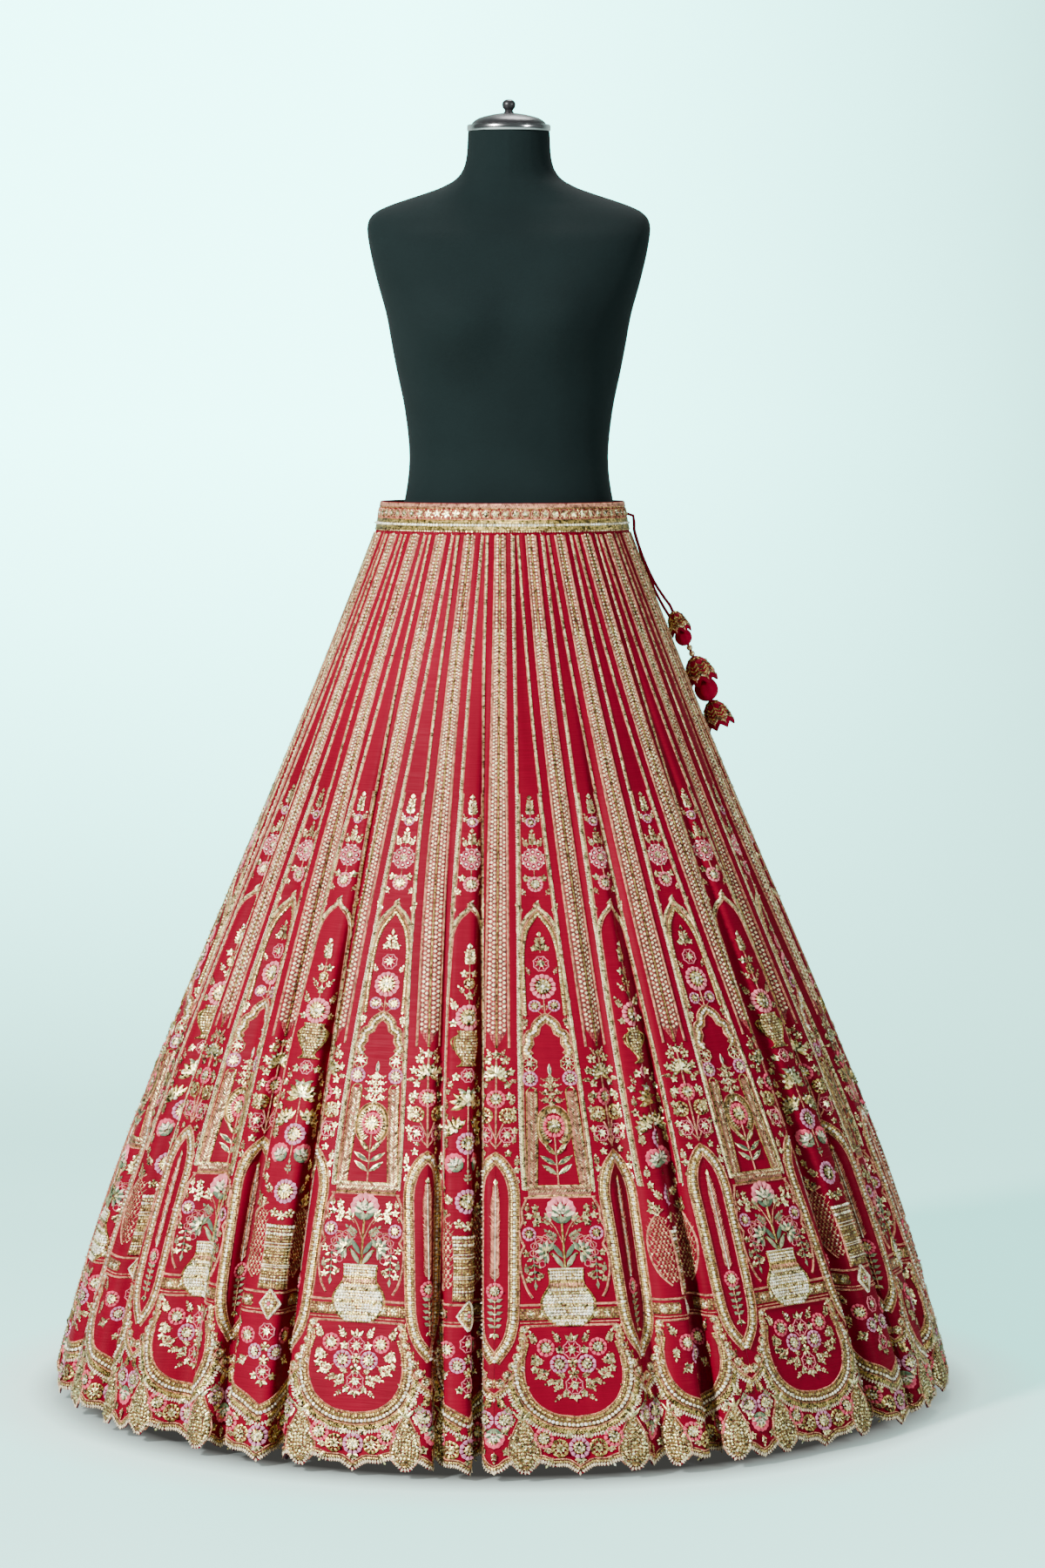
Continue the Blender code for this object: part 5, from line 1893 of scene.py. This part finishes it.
def make_ball(name, across, sides, finish):
    """A stuffed ball of cloth, drawn in a little where its gores meet, or a fluted bead."""
    radius = 0.5 * across
    deselect()
    bpy.ops.mesh.primitive_uv_sphere_add(segments=sides, ring_count=sides // 2, radius=radius,
                                         location=(0, 0, -radius))
    piece = bpy.context.object
    piece.name = piece.data.name = name
    bpy.ops.object.transform_apply()
    points = points_of(piece)
    around = np.arctan2(points[:, 1], points[:, 0])
    groove = 1 - 0.05 * np.abs(np.cos(4 * around)) ** 6
    points[:, :2] *= groove[:, None]
    move_points(piece, points)
    piece.data.materials.append(finish)
    smooth(piece, 60)
    return piece


gold_bead = Finish("gold bead", Metallic=0.85, Base_Color=(0.72, 0.5, 0.26))
dents = gold_bead.noise(gold_bead.place(), 900, 1)
gold_bead.set(Roughness=0.24 + dents * 0.16)
gold_bead.bump(dents, 0.0002, 0.4)

latkans = {}
for side, charms in CHARMS.items():
    down = down_slope((SHORT_END if side == "short" else LONG_END)[-1][1])
    at = Vector(cords[side][2]) + SEAM_GAP * down
    latkans[side] = []
    for kind, number, across, length in charms:
        name = f"latkan_{kind}_{number}"
        if kind == "bell":
            made = [make_bell(f"{name}_silk", across, length),
                    bell_embroidery(f"{name}_zari", across, length)]
            reach = (1 - TOOTH) * length - BELL_MOUTH
        else:
            sides, finish = (48, ball_silk) if kind == "ball" else (20, gold_bead.material)
            made = [make_ball(f"{name}_round", across, sides, finish)]
            reach = length
        for piece in made:
            move_points(piece, place_charm(points_of(piece), at, down))
        latkans[side].append((name, kind, made))
        at = at + (reach + SEAM_GAP) * down
    print(side, "end:", ", ".join(name for name, _, _ in latkans[side]))

# %% [markdown]
# ## The dress form
# The form is a limbless torso in dark jersey on a chromed pole. Its body is a loft: a tall
# cylinder of many rings whose points are moved to level ovals, read from a short table. The
# fittings at its neck and foot are turned.

# %% Dress form
TORSO = (  # height, half width, half depth, how far back, and how square the oval is
    (0.79, 0.138, 0.098, 0.008, 2.2), (0.803, 0.152, 0.11, 0.008, 2.2),
    (0.85, 0.161, 0.117, 0.008, 2.2), (0.905, 0.163, 0.118, 0.007, 2.2),
    (0.96, 0.153, 0.11, 0.005, 2.2), (1.01, 0.136, 0.099, 0.003, 2.2),
    (1.055, 0.123, 0.091, 0.001, 2.2), (1.105, 0.117, 0.086, 0, 2.2),
    (1.16, 0.122, 0.091, 0, 2.2), (1.21, 0.132, 0.096, -0.002, 2.3),
    (1.242, 0.138, 0.1, -0.003, 2.4), (1.275, 0.144, 0.102, -0.004, 2.4),
    (1.315, 0.155, 0.098, -0.001, 2.6), (1.355, 0.164, 0.09, 0.003, 2.8),
    (1.38, 0.166, 0.075, 0.008, 2.8), (1.394, 0.157, 0.066, 0.01, 2.6),
    (1.404, 0.136, 0.06, 0.011, 2.4), (1.414, 0.106, 0.056, 0.011, 2.2),
    (1.424, 0.078, 0.053, 0.01, 2.1), (1.436, 0.059, 0.05, 0.009, 2),
    (1.455, 0.05, 0.048, 0.006, 2), (1.488, 0.0475, 0.0465, 0.004, 2),
)
BUST_X, BUST_Z, BUST_SPREAD, BUST_OUT = 0.062, 1.268, 0.048, 0.016
NECK_X, NECK_TOP, NECK_BACK = 0.0075, 1.488, 0.004
TORSO_SIDES, TORSO_STEPS = 96, 4
WELTS = (90, 270, 0, 180, 62, 118, 238, 302)  # where the cover is seamed
WELT_WIDE, WELT_TALL = 0.0022, 0.0005

jersey = Finish("dark jersey", Specular_IOR_Level=0.08, Sheen_Weight=0.02, Sheen_Roughness=0.5)
ribs = jersey.add("TexWave", {"wave_profile": "SIN"}, {
    "Vector": jersey.place((1, 1, 0.12)), "Scale": 480, "Distortion": 0.4})
mottled = jersey.noise(jersey.place(), 14, 3)
speckled = jersey.noise(jersey.place(), 900, 1)
jersey.set(
    Base_Color=jersey.blend(mottled * 0.5 + speckled * 0.5, (0.0025, 0.0062, 0.0064),
                            (0.007, 0.014, 0.0145)),
    Roughness=0.8 + speckled * 0.12,
)
jersey.bump(ribs * 0.6 + speckled * 0.4, 0.0004, 0.45)


def torso_points(turns, row):
    """The points of one level section of the torso."""
    z, half_x, half_y, back, square = row
    power = 2 / square
    x = half_x * np.abs(np.cos(turns)) ** power * np.sign(np.cos(turns))
    y = half_y * np.abs(np.sin(turns)) ** power * np.sign(np.sin(turns))
    near = ((np.abs(x) - BUST_X) ** 2 + (z - BUST_Z) ** 2) / BUST_SPREAD**2
    y = np.where(y < 0, y - BUST_OUT * np.exp(-near), y)
    for welt in WELTS:
        off = (np.degrees(turns) - welt + 180) % 360 - 180
        swell = WELT_TALL * np.exp(-((np.radians(off) * half_x / WELT_WIDE) ** 2))
        x, y = x + swell * np.cos(turns), y + swell * np.sin(turns)
    return np.stack([NECK_X + x, back + y, z + 0 * x], axis=1)


def make_torso():
    rows = smooth_through(TORSO, TORSO_STEPS)
    stacked = [(1, float(level)) for level in range(len(rows))]
    piece = stack_rings("form_body", stacked, TORSO_SIDES, jersey.material)
    flat = points_of(piece)
    turns = np.arctan2(flat[:, 1], flat[:, 0])
    levels = np.rint(flat[:, 2]).astype(int)
    for level, row in enumerate(rows):
        here = levels == level
        flat[here] = torso_points(turns[here], row)
    move_points(piece, flat)
    smooth(piece, 60)
    return piece


torso = make_torso()
print("torso:", len(torso.data.polygons), "faces")

# %% [markdown]
# Chrome mirrors the studio, so it needs little else: a few faint brush marks keep it from
# looking like glass. The cap and the base are moulded plastic and painted steel, told apart
# from black by a soft grain.

# %% Form fittings
chrome = Finish("brushed chrome", Metallic=1, Base_Color=(0.62, 0.63, 0.64))
brushed = chrome.noise(chrome.place((40, 40, 900)), 1, 1)
chrome.set(Roughness=0.1 + brushed * 0.14)
chrome.bump(brushed, 0.0001, 0.15)


def dark_finish(name, low, high, roughness, grain):
    made = Finish(name, Specular_IOR_Level=0.5)
    speckle = made.noise(made.place(), grain, 2)
    made.set(Base_Color=made.blend(speckle, low, high), Roughness=roughness + speckle * 0.12)
    made.bump(speckle, 0.0002, 0.25)
    return made.material


plastic = dark_finish("moulded plastic", (0.008, 0.008, 0.009), (0.018, 0.018, 0.02), 0.3, 700)
enamel = dark_finish("painted steel", (0.01, 0.011, 0.012), (0.022, 0.023, 0.025), 0.42, 300)

RING_LOW = NECK_TOP + SEAM_GAP
CAP_LOW = RING_LOW + 0.008 + SEAM_GAP
KNOB_LOW = CAP_LOW + 0.013 + SEAM_GAP
POLE_RADIUS, BASE_HEIGHT = 0.015, 0.012
RIM = 0.0005  # the small circle at the middle of each turned end
FITTINGS = {  # name: where it stands, its finish and its profile from the top down
    "form_neck_ring": ((NECK_X, NECK_BACK, RING_LOW), chrome.material, (
        (RIM, 0.008), (0.047, 0.008), (0.0484, 0.0077), (0.0492, 0.0064), (0.0492, 0.0016),
        (0.0484, 0.0003), (0.047, 0), (RIM, 0))),
    "form_neck_cap": ((NECK_X, NECK_BACK, CAP_LOW), plastic, (
        (RIM, 0.013), (0.01, 0.013), (0.019, 0.0117), (0.028, 0.0096), (0.035, 0.0075),
        (0.04, 0.0047), (0.0428, 0.0022), (0.044, 0), (RIM, 0))),
    "form_knob": ((NECK_X, NECK_BACK, KNOB_LOW), plastic, (
        (RIM, 0.016), (0.003, 0.0158), (0.0058, 0.0145), (0.0076, 0.0122), (0.008, 0.0098),
        (0.0072, 0.006), (0.005, 0.0036), (0.0048, 0.0022), (0.006, 0.0006), (0.006, 0),
        (RIM, 0))),
    "form_pole": ((0, 0, 0), chrome.material, (
        (RIM, TORSO[0][0] - SEAM_GAP), (POLE_RADIUS, TORSO[0][0] - SEAM_GAP),
        (POLE_RADIUS, BASE_HEIGHT + SEAM_GAP), (RIM, BASE_HEIGHT + SEAM_GAP))),
    "form_base": ((0, 0, 0), enamel, (
        (RIM, BASE_HEIGHT), (0.188, BASE_HEIGHT), (0.1925, 0.0115), (0.197, 0.009),
        (0.1992, 0.0068), (0.2, 0.0045), (0.2, 0), (RIM, 0))),
}
fittings = {}
for name, (place, finish, profile) in FITTINGS.items():
    piece = stack_rings(f"{name}_turned", profile, 96, finish)
    smooth(piece, 34)
    move_points(piece, points_of(piece) + np.array(place))
    fittings[name] = piece
print("fittings:", ", ".join(fittings))

# %% [markdown]
# ## Who stands for what
# Every piece is attached to the frame's root, and one that stands for a solid hides it. A
# kali is a sheet of cloth with its embroidery on it, and each end of the drawstring is a cord
# of its real length.

# %% Pieces on the frame
FRONT_KALIS = (*range(0, 6), *range(18, 24))


def dress(piece, node=None):
    """The piece stands still on the root and may take a solid's place."""
    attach(piece, "root")
    if node:
        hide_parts(node)


for number, (kali, panel, strip) in enumerate(zip(kalis, panels, strips)):
    dress(kali, f"kali_{number + 1:02d}")
    dress(panel)
    dress(strip)
    "band_front" if number in FRONT_KALIS else "band_back"

for side, band in bands.items():
    dress(band, f"waistband_{side}")
    dress(band_embroidery[side])

for side, (cord, points, _, length) in cords.items():
    dress(cord, f"drawstring_{side}")
    pieces = []
    for name, kind, made in latkans[side]:
        for piece in made:
            dress(piece, name if piece is made[0] else None)
        pieces += made

dress(torso, "form_torso")
for name, piece in fittings.items():
    dress(piece, name)

# %% [markdown]
# ## The studio
# A pale sheet of paper runs from the floor up behind the form in one bend, so there is no
# line at the back. A big soft light stands to the left, a weaker one to the right, and the
# paper itself shows bright, as it is in a shop's studio, with painted light that grows towards
# its upper left and a painted shadow under the hem.

# %% Floor, light and backdrop
PAPER_WIDE, PAPER_BACK, PAPER_FRONT, PAPER_HIGH, PAPER_BEND = 16, 3.2, 6.4, 6, 1.4
PAPER_ROWS = 48
SHOWN_GLOW = 9  # how bright the paper shows, beyond the light that falls on it
HEM_SHADE = (0.49, 0.572)  # from the middle: where the painted shadow under the hem thins out
GREY_SHADE = (0.5, 0.66)  # and where the painted grey shade round it turns to the paper's own green
# the paper's colour in the painted shadow under the hem
HEM_SHADOW_COLOUR = (0.06, 0.07, 0.068)
PAPER_DULL, PAPER_FULL = (0.4, 0.51, 0.485), (0.44, 0.55, 0.525)
# the glow low on the floor and full high up on the left, between which runs the painted light
GLOW_LOW, GLOW_FULL = (0.038, 0.17, 0.148), (0.205, 0.95, 0.86)
# the glow in the painted grey shade round the hem, and in the painted shadow under it
GLOW_SHADED_GREY, GLOW_IN_HEM_SHADOW = (0.08, 0.082, 0.078), (0.006, 0.006, 0.0055)
ROOM, ROOM_LIGHT = (0.8, 0.9, 0.9, 1), 0.12  # what lights the piece from all round

paper = Finish("pale paper", Roughness=0.9, Specular_IOR_Level=0.1)
mottle = paper.noise(paper.place(), 3, 3)
reach = paper.add("VectorMath", {"operation": "LENGTH"}, {0: paper.place((1, 1, 0))})
from_middle = Value(paper, reach.output.node.outputs["Value"])
# 0 under the hem and 1 on the open floor: the mask of the painted shadow under the hem
outside_hem_shadow = from_middle.between(*HEM_SHADE)
lit_paper = paper.blend(mottle, PAPER_DULL, PAPER_FULL)
paper.set(Base_Color=paper.blend(outside_hem_shadow, HEM_SHADOW_COLOUR, lit_paper))
spot = paper.add("TexCoord", {}, {}, 3)
spot = paper.add("SeparateXYZ", {}, {"Vector": spot}).output.node.outputs
from_left, from_floor = Value(paper, spot[0]).between(-0.2, 1.1), Value(paper, spot[2])
# painted light: the glow grows up from the floor and fades towards the right, as if lit from the
# upper left
painted_light = from_floor.between(0, 1.1) * (1 - from_left * 0.95)
hue = paper.blend(painted_light, GLOW_LOW, GLOW_FULL)
# painted shade: the glow turns grey round the hem and dark under it
hue = paper.blend(from_middle.between(*GREY_SHADE), GLOW_SHADED_GREY, hue)
hue = paper.blend(outside_hem_shadow, GLOW_IN_HEM_SHADOW, hue)
glow = paper.add("Emission", {}, {"Color": hue, "Strength": SHOWN_GLOW})
seen = paper.add("LightPath", {}, {})
lit = Value(paper, paper.shader.outputs["BSDF"])
both_lights = paper.add("AddShader", {}, {0: lit, 1: glow})
out = paper.nodes["Material Output"]
mixed = paper.add("MixShader", {}, {0: seen, 1: lit, 2: both_lights})
behind = paper.add("NewGeometry", {}, {}).output.node.outputs["Backfacing"]
clear = paper.add("BsdfTransparent", {}, {})
mixed = paper.add("MixShader", {}, {0: Value(paper, behind), 1: mixed, 2: clear})
paper.material.node_tree.links.new(mixed.output, out.inputs["Surface"])

backdrop, across, along = new_grid("studio_paper", 4, PAPER_ROWS)
way = spread(np.array(
    [(-PAPER_FRONT, 0), (PAPER_BACK - PAPER_BEND, 0)]
    + [(PAPER_BACK - PAPER_BEND + PAPER_BEND * sin(t), PAPER_BEND * (1 - cos(t)))
       for t in np.linspace(0.1, 0.5 * pi, 16)]
    + [(PAPER_BACK, PAPER_HIGH)]), 0.02)
run = np.linspace(0, 1, len(way))
move_points(backdrop, np.stack([
    (across - 0.5) * PAPER_WIDE, np.interp(along, run, way[:, 0]),
    np.interp(along, run, way[:, 1]) - 0.0004], axis=1))
backdrop.data.materials.append(paper.material)
smooth(backdrop, 60)


def soft_light(name, place, aim, wide, watts, colour):
    lamp = bpy.data.lights.new(name, "AREA")
    lamp.shape, lamp.size, lamp.energy, lamp.color = "SQUARE", wide, watts, colour
    holder = bpy.data.objects.new(name, lamp)
    holder.location = place
    holder.rotation_euler = (Vector(aim) - Vector(place)).to_track_quat("-Z", "Y").to_euler()
    bpy.context.scene.collection.objects.link(holder)


soft_light("key", (-3, -3.3, 3.1), (0, 0, 0.8), 0.5, 700, (1, 0.99, 0.97))
soft_light("fill", (3.7, -2.9, 2.2), (0, 0, 0.7), 0.7, 135, (0.97, 1, 1))
soft_light("top", (0.3, 1.2, 3.6), (0, 0, 0.9), 1, 80, (1, 1, 1))
world = bpy.data.worlds.new("studio")
world.use_nodes = True
background = world.node_tree.nodes["Background"].inputs
background["Color"].default_value, background["Strength"].default_value = ROOM, ROOM_LIGHT
bpy.context.scene.world = world
print("studio ready")
